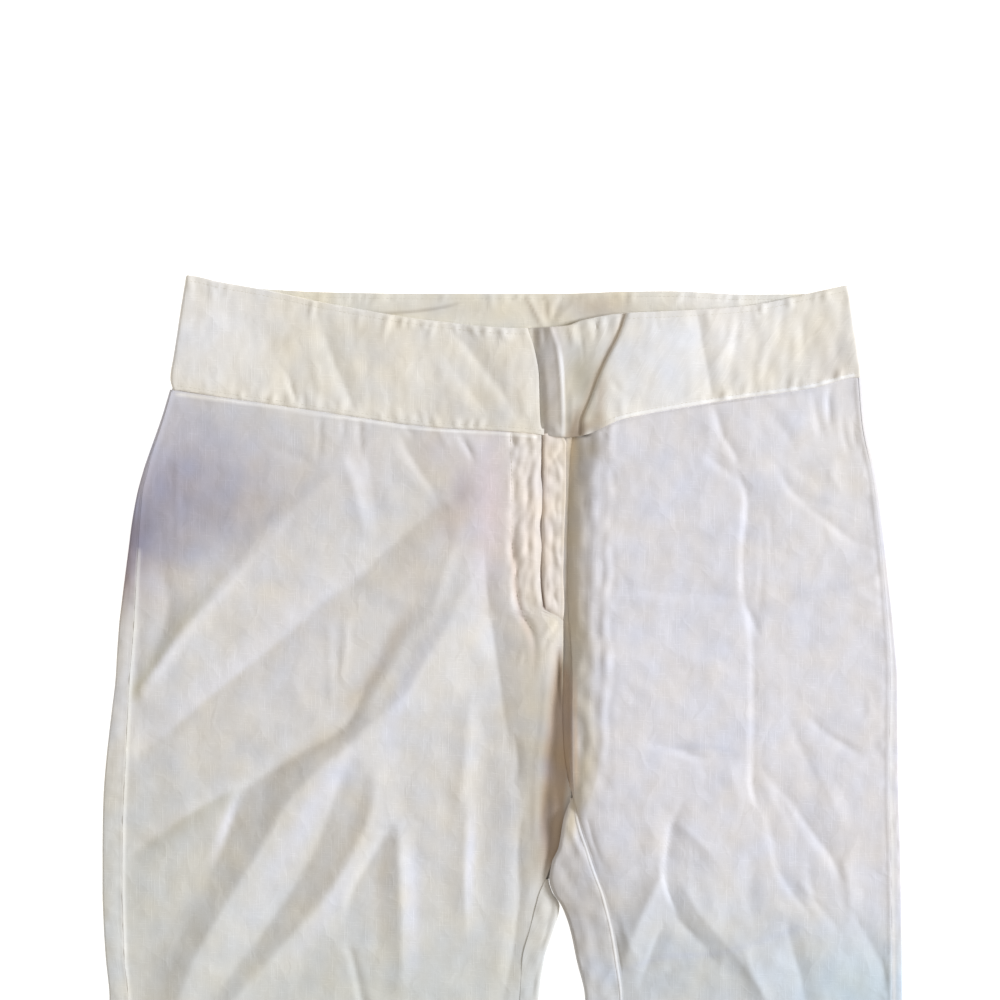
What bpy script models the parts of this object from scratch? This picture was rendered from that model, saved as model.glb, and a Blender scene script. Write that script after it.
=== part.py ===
"""Wide-leg linen trousers, laid flat on their back with the front up.

Frame: +Z up, +Y towards the waist, +X across. Right and left are the wearer's, so the right leg lies at -X. The
origin is on the surface that the cloth lies on, under the middle of the garment. Tables are in millimetres.
Each piece of cloth is the middle surface of its wall, lofted from short tables, and Solidify gives it the wall.
"""

import math

import bmesh
import bpy
import numpy as np

MM = 0.001
CLOTH = 1.0  # wall of the leg panels, the shield and the back waistband's plies
BAND = 1.2  # wall of the front waistband
ZIP = 0.6  # wall of the zip's tape
GAP = 0.3  # between two pieces at a seam
CLEAR = 0.5 * GAP  # what each of the two gives up
CURVE_CLEAR = 0.8  # what the fronts give up along their curved waist seams
WAIST = 550.0
HEM = -550.0

# Heights of the walls' middle surfaces above the table.
Z_BACK = 0.5 * CLOTH
Z_BACK_BAND = 0.5 * BAND
Z_FACING = Z_BACK + CLOTH + GAP
Z_UNDERLAP = 1.8  # the left front under the fly shield, and the floor of the centre hollow
Z_FRONT = 2.4
Z_SHIELD = 3.1
Z_ZIP = 4.2
Z_BAND = 3.2
Z_BAND_LAP = 5.2

CENTRE_BACK = 28.0  # x of the centre back seam
SLIT_END = 351.0  # y where the fly's slit ends
CENTRE_FRONT_START = 343.0  # y where the centre front seam starts
CROTCH = 188.0  # y where the legs part
FOLD_TIP = 238.0  # y where the left inseam comes out of the centre fold
TURN_STEPS = 4  # segments round a turned edge
INNER_TURN = 2.5  # how far in a leg's turned inner edge is rounded
TURN_UNDER = 6.0  # how far the front waistband reaches under at each side


def smooth(places, values, at):
    """Values read between their places by a cubic that never swings past its rows."""
    step = np.diff(places)
    slope = np.diff(values) / step
    product = slope[:-1] * slope[1:]
    total = np.where(product > 0, slope[:-1] + slope[1:], 1.0)
    inner = np.where(product > 0, 2 * product / total, 0.0)
    tangent = np.concatenate([slope[:1], inner, slope[-1:]])
    at = np.clip(at, places[0], places[-1])
    i = np.clip(np.searchsorted(places, at, side="right") - 1, 0, len(step) - 1)
    t = (at - places[i]) / step[i]
    value = values[i] * (1 + 2 * t) * (1 - t) ** 2 + values[i + 1] * t * t * (3 - 2 * t)
    return value + step[i] * (tangent[i] * t * (1 - t) ** 2 - tangent[i + 1] * t * t * (1 - t))


class Table:
    """Named columns against their first one, read at any place between the rows."""

    def __init__(self, names, *rows):
        columns = np.array(sorted(rows), dtype=float).T
        self.places = columns[0]
        self.columns = dict(zip(names.split()[1:], columns[1:]))

    def __call__(self, name, at):
        return smooth(self.places, self.columns[name], np.asarray(at, dtype=float))


# Right leg: the outline, the side seam, the front panel's inner line (fly edge, centre front seam, then inseam),
# the leg's turned inner edge, and the panel's height near that inner line and on it.
RIGHT = Table(
    "y edge side_seam inner inner_edge level foot",
    (490, -199, -196.6, 23.6, 27.4, 5.3, 5.3),
    (468, -205, -202.6, 23.6, 27.4, 5.3, 5.3),
    (443, -213, -210.6, 23.6, 27.4, 5.3, 5.3),
    (423, -219, -216, 23.6, 27.4, 5.3, 5.3),
    (394, -224, -218.5, 23.6, 27.4, 5.3, 5.3),
    (SLIT_END, -229.4, -221, 24, 27.4, 5.3, 5.3),
    (CENTRE_FRONT_START, -230.4, -221.4, 34.6, 27.4, 5.3, 4.6),
    (308, -232.8, -224.2, 35, 27.4, 5.4, 2.8),
    (267, -237.6, -226.2, 36.2, 27.4, 5.6, 2.0),
    (250, -239.2, -227, 38.6, 27.4, 5.6, 1.8),
    (FOLD_TIP, -240, -227.6, 41.2, 27.4, 5.4, 1.8),
    (224, -240.4, -228.2, 38, 27.4, 5.2, 1.8),
    (207, -240.6, -228.5, 34.6, 27.4, 4.6, 1.8),
    (198, -240.6, -228.6, 29.4, 27.4, 4.0, 1.9),
    (CROTCH, -240.6, -228.6, 24.8, 27.4, 3.6, 2.2),
    (180, -240.6, -228.6, 22, 29.6, 3.2, Z_FRONT),
    (172, -240.4, -228.4, 19.8, 34, 3, Z_FRONT),
    (158, -239.8, -228, 16.2, 30.6, 2.6, Z_FRONT),
    (140, -238.6, -227.3, 11.6, 25, Z_FRONT, Z_FRONT),
    (116, -236.4, -225, 10.2, 21.6, Z_FRONT, Z_FRONT),
    (0, -236, -226, 2, 13, Z_FRONT, Z_FRONT),
    (-180, -247, -237, -8, 2, Z_FRONT, Z_FRONT),
    (HEM, -262, -252, -20, -10, Z_FRONT, Z_FRONT),
)
# Left leg: the outline, the side seam, where the front panel starts (under the shield, centre front seam, then
# inseam), the foot and the crest of the big centre fold, the leg's turned inner edge, and the fold's height.
LEFT = Table(
    "y edge side_seam start foot crest inner_edge top",
    (490, 215.4, 213, 20, 44, 48, 28, 6.0),
    (461, 217.8, 215.4, 20, 44, 50, 28, 6.2),
    (429, 224.4, 221.8, 20, 43, 55, 28, 6.6),
    (396, 228.6, 225.8, 20, 42.5, 57, 28, 7.0),
    (365, 232.2, 228.8, 20, 41.5, 55, 28, 7.2),
    (SLIT_END, 233.8, 230, 20, 41.4, 52.6, 28, 7.4),
    (CENTRE_FRONT_START, 234.6, 230.6, 35.8, 41.4, 50.6, 28, 7.6),
    (325, 236.2, 232, 36, 41.2, 46.6, 28, 8.0),
    (308, 237.4, 232.4, 36, 42, 43, 28, 8.6),
    (267, 237.6, 231.8, 37.2, 42.8, 42.4, 28, 9.0),
    (250, 237.7, 231.7, 39.6, 43, 43.4, 28, 8.8),
    (FOLD_TIP, 238, 231.8, 41.8, 43, 45, 40.2, 8.6),
    (224, 238.4, 232.2, 44.4, 45.6, 47, 36.6, 8.2),
    (207, 239, 232.7, 50, 51.2, 53, 34.4, 7.8),
    (198, 239.2, 232.8, 53, 54.2, 56, 29.6, 7.4),
    (CROTCH, 239.4, 233, 56.6, 58, 60, 27.7, 7.0),
    (180, 239.5, 233.1, 59.6, 61, 63, 30, 6.6),
    (172, 239.6, 233.2, 61.4, 63, 65, 35.2, 6.2),
    (158, 239.8, 233.3, 64, 66, 68, 40.2, 5.6),
    (140, 240, 233.5, 67, 69, 71, 44, 5.0),
    (116, 240, 233.5, 70, 72, 75, 49.2, 4.5),
    (60, 240.6, 234, 70, 73, 77, 50, 3.4),
    (0, 242, 235, 65, 68, 72, 47, 2.6),
    (-180, 249, 241.5, 50, 53, 57, 36, Z_FRONT),
    (HEM, 262, 253, 34, 37, 41, 22, Z_FRONT),
)
# The waist across the garment: the seam to the front legs and the waistband's top edges. The seam to the back
# legs is straight.
ACROSS = Table(
    "x front_seam front_top back_top",
    (-200, 481.8, WAIST, 549.6),
    (-195, 481.9, WAIST, 549.3),
    (-190, 481.2, WAIST, 548.9),
    (-170, 478, 546, 545.4),
    (-145, 474.4, 541.6, 542.7),
    (-103, 468.2, 532.7, 540.6),
    (-44, 460, 523, 539.8),
    (11, 456.6, 518.2, 539.8),
    (38, 453.6, 519.6, 539.9),
    (48, 454.8, 523, 540.1),
    (70, 464, 526.8, 541),
    (101, 470.2, 528.4, 541.3),
    (144, 477.2, 531.4, 539.4),
    (187, 483.4, 539.8, 539.6),
    (211, 489.5, 544.9, 544.2),
    (216, 489.6, 545.6, 544.6),
)
BACK_SEAM = Table("x back_seam", (-200, 481.8), (216, 489.6))
# Lines that climb the front waistband, by the share of its height: side folds, the lapping end, the crest of the
# underlap, and the centre fold that leans to the left side.
BAND_LINES = Table(
    "share right_edge left_edge lap_end tab_crest fold",
    (0.0, -198.2, 215.0, 24.6, 38.2, 50),
    (0.1, -199.8, 214.6, 22.4, 38.0, 47),
    (0.3, -197.8, 213.2, 21.8, 37.8, 50),
    (0.55, -195.2, 211.2, 21.0, 37.0, 59),
    (0.8, -192.6, 209.2, 18.4, 35.2, 68),
    (1.0, -190.2, 207.2, 15.6, 30.8, 74),
)
# The free edge of the fly shield.
SHIELD_EDGE = Table("y x", (453, 38.0), (444, 37.4), (424, 37.8), (401, 36.6), (370, 35.4), (353, 36.4))

# The largest folds: height, half width, and the crest's path.
RIGHT_FOLDS = (
    (4.5, 24, ((-95, 434), (-133, 401), (-167, 363), (-194, 335), (-214, 300))),
    (5.5, 30, ((-8, 384), (-34, 344), (-50, 312), (-78, 284), (-121, 245), (-162, 175), (-184, 141),
               (-190, 100))),
    (4.0, 22, ((-60, 232), (-72, 213), (-110, 175), (-137, 141), (-160, 112), (-180, 60))),
    (3.0, 22, ((-40, 250), (-34, 190), (-30, 130), (-34, 60), (-40, -20))),
    (2.0, 30, ((-130, 40), (-120, -80), (-128, -220))),
    (1.6, 26, ((-60, -60), (-74, -220), (-80, -400))),
    (1.6, 30, ((-190, -120), (-184, -260), (-196, -420))),
)
LEFT_FOLDS = (
    (3.0, 20, ((126, 462), (139, 444), (145, 417), (144, 360), (149, 293), (148, 246))),
    (3.0, 22, ((100, 262), (98, 232), (97, 200), (92, 150), (88, 110))),
    (2.6, 20, ((165, 262), (178, 243), (196, 218), (208, 180), (212, 140))),
    (2.6, 20, ((104, 190), (122, 166), (140, 140), (158, 112))),
    (2.2, 30, ((150, 60), (144, -80), (150, -230))),
    (1.8, 26, ((104, 20), (100, -140), (92, -320))),
    (1.6, 30, ((206, -60), (212, -220), (206, -400))),
)

# Rows across the legs, close together where the folds are. Above the first, TOP_SHARES climb to the waist seam.
LEG_ROWS = (436, 415, 394, 372, SLIT_END, CENTRE_FRONT_START, 325, 308, 287, 267, 250, FOLD_TIP, 224, 207, 198,
            CROTCH, 180, 172, 158, 140, 116, 60, 0, -90, -180, -300, -420, HEM)
TOP_SHARES = (1.0, 0.5)


def across(line, x):
    """The y of one of the waist's lines at x."""
    return (BACK_SEAM if line == "back_seam" else ACROSS)(line, x)


def step_up(value, low, high):
    """A soft step from 0 at low to 1 at high."""
    t = np.clip((value - low) / (high - low), 0, 1)
    return t * t * (3 - 2 * t)


def fold_height(x, y, folds):
    """The height that the folds add, each fading out towards the ends of its path."""
    total = np.zeros_like(x)
    for height, half_width, path in folds:
        corners = np.array(path, dtype=float)
        lengths = np.linalg.norm(np.diff(corners, axis=0), axis=1)
        nearest, share, done = np.full(x.shape, np.inf), np.zeros_like(x), 0.0
        for (ax, ay), (bx, by), length in zip(corners[:-1], corners[1:], lengths):
            t = np.clip(((x - ax) * (bx - ax) + (y - ay) * (by - ay)) / length**2, 0, 1)
            away = np.hypot(x - ax - t * (bx - ax), y - ay - t * (by - ay))
            share = np.where(away < nearest, (done + t * length) / lengths.sum(), share)
            nearest = np.minimum(nearest, away)
            done += length
        across = 0.5 * (1 + np.cos(math.pi * np.minimum(nearest / half_width, 1)))
        total += height * across * step_up(share, 0, 0.2) * step_up(1 - share, 0, 0.2)
    return total


def cloth(name, patches, colour, wall=CLOTH):
    """A piece of cloth from patches, each rows of (x, y, z) points, which share their common edges."""
    data = bmesh.new()
    for patch in patches:
        grid = [[data.verts.new(np.array(point) * MM) for point in row] for row in patch]
        for low, high in zip(grid[:-1], grid[1:]):
            for i in range(len(low) - 1):
                data.faces.new((low[i], low[i + 1], high[i + 1], high[i]))
    bmesh.ops.remove_doubles(data, verts=data.verts, dist=0.01 * MM)
    bmesh.ops.recalc_face_normals(data, faces=data.faces)
    mesh = bpy.data.meshes.new(name)
    data.to_mesh(mesh)
    data.free()
    mesh.shade_smooth()
    material = bpy.data.materials.new(name)
    material.use_nodes = True
    surface = material.node_tree.nodes["Principled BSDF"]
    surface.inputs["Base Color"].default_value = (*colour, 1.0)
    surface.inputs["Roughness"].default_value = 0.85
    mesh.materials.append(material)
    piece = bpy.data.objects.new(name, mesh)
    thickness = piece.modifiers.new("wall", "SOLIDIFY")
    thickness.thickness = wall * MM
    thickness.offset = 0.0
    bpy.data.collections["trousers"].objects.link(piece)


def turned(edge, inwards, low, high, reach, wall=CLOTH):
    """(x, z) round a turned edge, from low to high. Inwards is +1 where the cloth lies at larger x."""
    angles = np.linspace(-math.pi / 2, math.pi / 2, TURN_STEPS + 1)
    middle, half = 0.5 * (low + high), 0.5 * (high - low)
    start = edge + inwards * 0.5 * wall
    return [(start + inwards * reach * (1 - math.cos(a)), middle + half * math.sin(a)) for a in angles]


def leg_rows(section, seam, clear=CLEAR):
    """Rows of points down a leg. section(y) gives a row's (x, z) points, and seam names the waist seam above,
    which the top row stays clear of."""
    rows = []
    for share in TOP_SHARES:
        first = LEG_ROWS[0]
        points = section(first)
        for _ in range(3):  # the row follows the seam, so each point takes its own height's section
            heights = [first + share * (across(seam, x) - clear - first) for x, _ in points]
            points = [section(y)[i] for i, y in enumerate(heights)]
        rows.append([(x, y, z) for (x, z), y in zip(points, heights)])
    return rows + [[(x, y, z) for x, z in section(y)] for y in LEG_ROWS]


def raised(rows, folds, side, inner):
    """The rows with the folds added, which fade out towards the columns side and inner and at both ends."""
    points = np.array(rows, dtype=float)
    x, y = points[..., 0], points[..., 1]
    to_side = np.abs(x - x[:, [side]])
    to_inner = np.abs(x - x[:, [inner]])
    to_waist = across("front_seam", x) - y
    margin = step_up(to_side, 3, 20) * step_up(to_inner, 3, 20) * step_up(to_waist, 2, 18)
    points[..., 2] += fold_height(x, y, folds) * margin * step_up(y, HEM, HEM + 60)
    return points


def make_front_right():
    columns = np.concatenate([(0, 0.03), np.linspace(0.08, 0.84, 12), (0.89, 0.935, 0.97, 1.0)])

    def section(y):
        side, inner = RIGHT("side_seam", y) + CLEAR, RIGHT("inner", y) - CLEAR
        level, foot = RIGHT("level", y), RIGHT("foot", y)
        x = side + columns * (inner - side)
        z = Z_FRONT + (level - Z_FRONT) * step_up(x, inner - 44, inner - 19)
        return list(zip(x, z - (level - foot) * step_up(x, inner - 10, inner)))

    rows = leg_rows(section, "front_seam", CURVE_CLEAR)
    cloth("front_right", [raised(rows, RIGHT_FOLDS, 0, -1)], (0.80, 0.79, 0.80))


def lay_left(x, y):
    """The left front's height away from its folds: high beside the centre fold, flat at the side."""
    crest, top = LEFT("crest", y), LEFT("top", y)
    return Z_FRONT + (top - Z_FRONT) * (1 - step_up(x, crest + 10, crest + 120))


def make_front_left():
    columns = np.concatenate([(0.04, 0.1, 0.17), np.linspace(0.25, 0.89, 9), (0.94, 0.975, 1.0)])

    def section(y):
        start, foot, crest = LEFT("start", y) + CLEAR, LEFT("foot", y), LEFT("crest", y)
        top, side = LEFT("top", y), LEFT("side_seam", y) - CLEAR
        on_top = 1 - step_up(y, FOLD_TIP, 250)
        floor = np.where(y > SLIT_END - 1, Z_UNDERLAP, RIGHT("foot", y))
        start_z = floor + on_top * (top - 0.4 - floor)
        foot_z = Z_UNDERLAP + on_top * (top - 0.3 - Z_UNDERLAP)
        mid_z = 0.5 * (foot_z + top)
        crest_z = top - 0.2 * (1 - on_top)
        wall = [(start, start_z), (foot, foot_z), (0.5 * (foot + crest), mid_z), (crest, crest_z)]
        x = crest + columns * (side - crest)
        return wall + list(zip(x, lay_left(x, y)))

    rows = leg_rows(section, "front_seam", CURVE_CLEAR)
    cloth("front_left", [raised(rows, LEFT_FOLDS, -1, 3)], (0.80, 0.80, 0.83))


def inner_turn(table, side, inseam, top, y):
    """(x, z) round a leg's turned inner edge and on to the inseam."""
    edge, height = table("inner_edge", y), table(top, y)
    seam = table(inseam, y) + side * GAP
    reach = min(INNER_TURN, 0.6 * (abs(edge - seam) - 0.5 * CLOTH))
    turn = turned(edge, -side, Z_BACK, height, reach)
    return turn + [(turn[-1][0] + share * (seam - turn[-1][0]), height) for share in (0.5, 1.0)]


def back_section(table, side, inseam, top, y):
    """(x, z) over the flat of a back leg, round its turned side edge and on to the side seam."""
    outer = turned(table("edge", y), side, Z_BACK, Z_FRONT, 0.5 * (Z_FRONT - Z_BACK))
    start = CENTRE_BACK - side * CLEAR if y > CROTCH else inner_turn(table, side, inseam, top, y)[0][0]
    flat = [(start + share * (outer[0][0] - start), Z_BACK) for share in (0, 0.33, 0.67)]
    return flat + outer + [(table("side_seam", y) - side * CLEAR, Z_FRONT)]


def make_back(name, table, side, inseam, top, colour):
    """A back leg. side is the way inwards from its side edge, +1 or -1 along X, and inseam and top are columns."""
    body = leg_rows(lambda y: back_section(table, side, inseam, top, y), "back_seam")
    heights = [y for y in LEG_ROWS if y <= CROTCH]
    inner = [[(x, y, z) for x, z in inner_turn(table, side, inseam, top, y)] for y in heights]
    patches = [body, inner]
    if table is LEFT:
        patches.append(fold_tongue(inner[0]))
    cloth(name, patches, colour)


def fold_tongue(lowest):
    """The point of the left back leg that lies over the crotch, up to where the inseam leaves the centre fold."""
    rows = [lowest[TURN_STEPS // 2:]]
    for y in (198, 207, 224, FOLD_TIP - 2):
        edge, seam, top = LEFT("inner_edge", y), LEFT("start", y) - CLEAR, LEFT("top", y)
        turn = turned(edge, 1, 3.2 - (top - 3.2), top, min(2.5, 0.4 * (seam - edge)))[TURN_STEPS // 2:]
        strip = [(turn[-1][0] + share * (seam - turn[-1][0]), top) for share in (0.5, 1.0)]
        rows.append([(x, y, z) for x, z in turn + strip])
    return rows


def band_rows(stations, shares=(0.0, 0.1, 0.3, 0.55, 0.8, 1.0)):
    """Rows up a front waistband. stations(share) gives (x, z, face) with face front or back."""
    rows = []
    for share in shares:
        row = []
        for x, z, face in stations(share):
            low = across(face + "_seam", x) + CLEAR
            high = across(face + "_top", x) - (0.2 if face == "back" else 0)
            row.append((x, low + share * (high - low), z))
        rows.append(row)
    return rows


def band_side(edge, inwards):
    """The waistband's turned side fold with the strip that reaches under."""
    turn = turned(edge, inwards, Z_BACK_BAND, Z_BAND, 0.5 * (Z_BAND - Z_BACK_BAND), BAND)
    return [(edge + inwards * TURN_UNDER, Z_BACK_BAND, "back")] + [(x, z, "front") for x, z in turn]


def make_waistband_front_right():
    columns = np.linspace(0.08, 1.0, 14)

    def stations(share):
        side = band_side(BAND_LINES("right_edge", share), 1)
        start, end = side[-1][0], BAND_LINES("lap_end", share)
        x = start + columns * (end - start)
        z = Z_BAND + (Z_BAND_LAP - Z_BAND) * step_up(x, end - 38, end - 16)
        return side + [(a, b, "front") for a, b in zip(x, z)]

    cloth("waistband_front_right", [band_rows(stations)], (0.82, 0.80, 0.74), BAND)


def make_waistband_front_left():
    columns = np.linspace(1.0, 0.06, 12)

    def stations(share):
        side = band_side(BAND_LINES("left_edge", share), -1)
        crest, fold = BAND_LINES("tab_crest", share), BAND_LINES("fold", share)
        x = fold + 4 + columns * (side[-1][0] - fold - 4)
        z = Z_BAND + 3.6 * (1 - step_up(x, fold + 10, fold + 80))
        middle = [(a, b, "front") for a, b in list(zip(x, z))[1:]]
        fold_line = [(fold + 1.5, 6.5, "front"), (fold, 5.0, "front"), (fold - 1.5, Z_BAND, "front")]
        tab = [(crest + 2.5, Z_BAND), (crest, 4.6), (crest - 6, 3.8), (8.0, Z_BAND - 0.2)]
        return side + middle + fold_line + [(a, b, "front") for a, b in tab]

    cloth("waistband_front_left", [band_rows(stations)], (0.82, 0.81, 0.78), BAND)


def make_back_waistband():
    for name, z, inset, low, high, colour in (
        ("waistband_back", Z_BACK, TURN_UNDER + GAP, CLEAR, 0.2, (0.80, 0.79, 0.74)),
        ("waistband_back_facing", Z_FACING, TURN_UNDER + GAP, 1.5, 0.5, (0.81, 0.80, 0.74)),
    ):
        rows = []
        for share in (0.0, 0.5, 1.0):
            start = BAND_LINES("right_edge", share) + inset
            end = BAND_LINES("left_edge", share) - inset
            x = np.linspace(start, end, 14)
            bottom, top = across("back_seam", x) + low, across("back_top", x) - high
            rows.append([(a, b, z) for a, b in zip(x, bottom + share * (top - bottom))])
        cloth(name, [rows], colour)


def make_fly():
    shield = []
    for y in (452.5, 444, 434, 424, 412, 401, 386, 370, SLIT_END + 2):
        edge = SHIELD_EDGE("x", y)
        section = ((12, Z_SHIELD), (24, Z_SHIELD), (edge - 4, Z_SHIELD + 0.3), (edge, Z_SHIELD + 0.5))
        shield.append([(x, y, z) for x, z in section])
    cloth("fly_shield", [shield], (0.82, 0.79, 0.72))
    tape = [[(x, y, Z_ZIP) for x in (6, 22)] for y in (450, SLIT_END + 2)]
    cloth("fly_zip", [tape], (0.78, 0.76, 0.70), ZIP)


def main():
    for old in list(bpy.data.objects):
        bpy.data.objects.remove(old)
    bpy.context.scene.collection.children.link(bpy.data.collections.new("trousers"))
    make_back("back_right", RIGHT, 1, "inner", "foot", (0.80, 0.79, 0.79))
    make_back("back_left", LEFT, -1, "start", "top", (0.80, 0.79, 0.80))
    make_front_right()
    make_front_left()
    make_back_waistband()
    make_waistband_front_right()
    make_waistband_front_left()
    make_fly()


main()
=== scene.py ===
"""Looks for the wide-leg linen trousers, which lie flat on their back with the front up.

Tables are in millimetres, in the frame's own axes: +Y towards the waist, +X across, +Z up. Right and left
are the wearer's, so the right leg lies at -X. Each piece of cloth is a thin shell on its solid's form.
Its folds are soft ridges and troughs, each with its own path, heights and widths.
"""

import math

import bmesh
import bpy
import numpy as np
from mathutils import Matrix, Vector


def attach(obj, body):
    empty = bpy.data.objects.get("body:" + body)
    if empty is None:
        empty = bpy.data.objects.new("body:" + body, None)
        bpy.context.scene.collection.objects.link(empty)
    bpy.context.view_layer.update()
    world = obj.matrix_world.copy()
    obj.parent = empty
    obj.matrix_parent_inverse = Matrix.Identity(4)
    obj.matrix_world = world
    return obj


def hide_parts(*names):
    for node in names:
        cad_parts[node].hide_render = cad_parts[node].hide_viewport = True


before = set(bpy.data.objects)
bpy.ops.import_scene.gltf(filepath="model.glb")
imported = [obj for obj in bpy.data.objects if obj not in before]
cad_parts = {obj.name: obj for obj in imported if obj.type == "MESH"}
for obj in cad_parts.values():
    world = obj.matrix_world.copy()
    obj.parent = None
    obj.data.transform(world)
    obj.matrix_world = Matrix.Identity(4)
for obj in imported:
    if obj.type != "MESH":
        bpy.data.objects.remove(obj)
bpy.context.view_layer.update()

MM = 0.001
LINEN = 0.7  # wall of the linen shells
BAND = 0.8  # wall of one ply of the waistband
WAIST = 550.0
HEM = -550.0
GAP = 0.03  # what each piece gives up at a seam
CENTRE_BACK = 28.0
SLIT_END = 351.0
CENTRE_FRONT_START = 343.0
CROTCH = 188.0
FOLD_TIP = 238.0
TURN_UNDER = 6.0
HEM_DEPTH = 28  # how far the hem is turned up
HEM_STITCHES = 27.5  # where its stitches run, above its edge
LAP_END = 22.5  # the fly edge of the right front's lap, under the waistband
BACK_LAP = 0.9  # how far the right back's allowance reaches over the left's
UNDER_SEAM = 3.0  # how far the fronts reach up past the waistband's seam
UNDER_BAND = 1.3  # how far below the waistband's middle surface they lie there
OVER_BACK = 0.75  # the least height of a front above the back's middle surface
FLATTER_HEM = 120  # the fronts' soft body comes in over this much above the hem
TURN_STEPS = 8  # round a turned edge

# Heights of the shells' middle surfaces above the table.
Z_BACK = 0.4
Z_FACING = 1.5
Z_FRONT = 2.5
Z_SHIELD = 3.2
Z_ZIP = 4.1
Z_BAND = 3.5


def smooth(places, values, at):
    """Values read between their places by a cubic that never swings past its rows."""
    step = np.diff(places)
    slope = np.diff(values) / step
    product = slope[:-1] * slope[1:]
    total = np.where(product > 0, slope[:-1] + slope[1:], 1.0)
    inner = np.where(product > 0, 2 * product / total, 0.0)
    tangent = np.concatenate([slope[:1], inner, slope[-1:]])
    at = np.clip(at, places[0], places[-1])
    i = np.clip(np.searchsorted(places, at, side="right") - 1, 0, len(step) - 1)
    t = (at - places[i]) / step[i]
    value = values[i] * (1 + 2 * t) * (1 - t) ** 2 + values[i + 1] * t * t * (3 - 2 * t)
    return value + step[i] * (tangent[i] * t * (1 - t) ** 2 - tangent[i + 1] * t * t * (1 - t))


class Table:
    """Named columns against their first one, read at any place between the rows."""

    def __init__(self, names, *rows):
        columns = np.array(sorted(rows), dtype=float).T
        self.places = columns[0]
        self.columns = dict(zip(names.split()[1:], columns[1:]))

    def __call__(self, name, at):
        return smooth(self.places, self.columns[name], np.asarray(at, dtype=float))


# Right leg: the outline, the side seam, the front panel's inner line (fly edge, centre front seam, then
# inseam), the leg's turned inner edge, the panel's height before it falls towards that line, its height on
# it, and where that fall starts and ends.
RIGHT = Table(
    "y edge side_seam inner inner_edge level foot fall_from fall_to",
    (490, -199, -196.6, 23.0, 27.4, 5.5, 5.3, 15, 23),
    (468, -205, -202.6, 23.2, 27.4, 5.5, 5.3, 15, 23),
    (443, -213, -210.6, 22.9, 27.4, 5.6, 5.3, 15, 23),
    (432, -216.4, -213.6, 22.7, 27.4, 5.7, 5.3, 15, 23),
    (421, -219.4, -216.3, 23.6, 27.4, 5.7, 5.3, 15, 23),
    (410, -221.6, -217.4, 23.4, 27.4, 5.7, 5.3, 15, 23),
    (400, -223.2, -218.2, 22.0, 27.4, 5.7, 5.3, 15, 23),
    (388, -224.7, -218.9, 23.1, 27.4, 5.7, 5.3, 15, 23),
    (371, -226.9, -220.0, 22.2, 27.4, 5.7, 5.3, 15, 23),
    (360, -228.3, -220.5, 22.9, 27.4, 5.7, 5.3, 15, 23),
    (SLIT_END, -229.4, -221, 24.4, 27.4, 5.8, 5.2, 16, 25),
    (CENTRE_FRONT_START, -230.4, -221.4, 36.2, 27.4, 6.0, 4.9, 25, 36.5),
    (325, -231.8, -222.8, 36.2, 27.4, 6.2, 3.4, 27, 36),
    (308, -232.8, -224.2, 36.0, 27.4, 6.4, 1.8, 25.5, 34.5),
    (290, -234.9, -225.2, 35.6, 27.4, 6.5, 1.4, 24, 32.5),
    (267, -237.6, -226.2, 36.4, 27.4, 6.5, 1.3, 21.5, 31),
    (250, -239.2, -227, 38.6, 27.4, 6.4, 1.3, 19, 29),
    (FOLD_TIP, -240, -227.6, 41.2, 27.4, 6.2, 1.3, 18, 28.5),
    (224, -240.4, -228.2, 38, 27.4, 6.0, 1.3, 18, 28),
    (207, -240.6, -228.5, 34.6, 27.4, 5.4, 1.8, 18.5, 29),
    (198, -240.6, -228.6, 29.6, 27.4, 4.9, 2.8, 19.5, 29),
    (CROTCH, -240.6, -228.6, 25.6, 27.4, 4.4, 3.6, 18, 25),
    (180, -240.6, -228.6, 22, 29.6, 3.8, 3.0, 14, 22),
    (172, -240.4, -228.4, 19.8, 34, 3.6, 3.2, 12, 20),
    (158, -239.8, -228, 16.2, 30.6, 3.4, 3.2, 8, 16),
    (140, -238.6, -227.3, 11.6, 25, 3.2, 3.0, 4, 12),
    (116, -236.4, -225, 10.2, 21.6, 3.0, 2.9, 2, 10),
    (0, -236, -226, 2, 13, 2.8, 2.6, -6, 2),
    (-180, -247, -237, -8, 2, 2.6, Z_FRONT, -16, -8),
    (HEM, -262, -252, -20, -10, Z_FRONT, Z_FRONT, -28, -20),
)
# Left leg: the outline, the side seam, where the front panel starts (under the shield, centre front seam,
# then inseam) and the leg's turned inner edge.
LEFT = Table(
    "y edge side_seam start inner_edge",
    (490, 215.4, 213, 20, 28),
    (461, 217.8, 215.4, 20, 28),
    (429, 224.4, 221.8, 20, 28),
    (396, 228.6, 225.8, 20, 28),
    (365, 232.2, 228.8, 20, 28),
    (SLIT_END, 233.8, 230, 20, 28),
    (CENTRE_FRONT_START, 234.6, 230.6, 36.5, 28),
    (325, 236.2, 232, 36.6, 28),
    (308, 237.4, 232.4, 36.5, 28),
    (267, 237.6, 231.8, 37.2, 28),
    (250, 237.7, 231.7, 39.6, 28),
    (FOLD_TIP, 238, 231.8, 41.8, 40.2),
    (224, 238.4, 232.2, 43.6, 36.2),
    (207, 239, 232.7, 49, 33.2),
    (198, 239.2, 232.8, 51.8, 29.2),
    (CROTCH, 239.4, 233, 55.4, 27.7),
    (180, 239.5, 233.1, 58.4, 30),
    (172, 239.6, 233.2, 60.6, 35.2),
    (158, 239.8, 233.3, 64, 40.2),
    (140, 240, 233.5, 67, 44),
    (116, 240, 233.5, 70, 49.2),
    (60, 240.6, 234, 70, 50),
    (0, 242, 235, 65, 47),
    (-180, 249, 241.5, 50, 36),
    (HEM, 262, 253, 34, 22),
)
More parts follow.
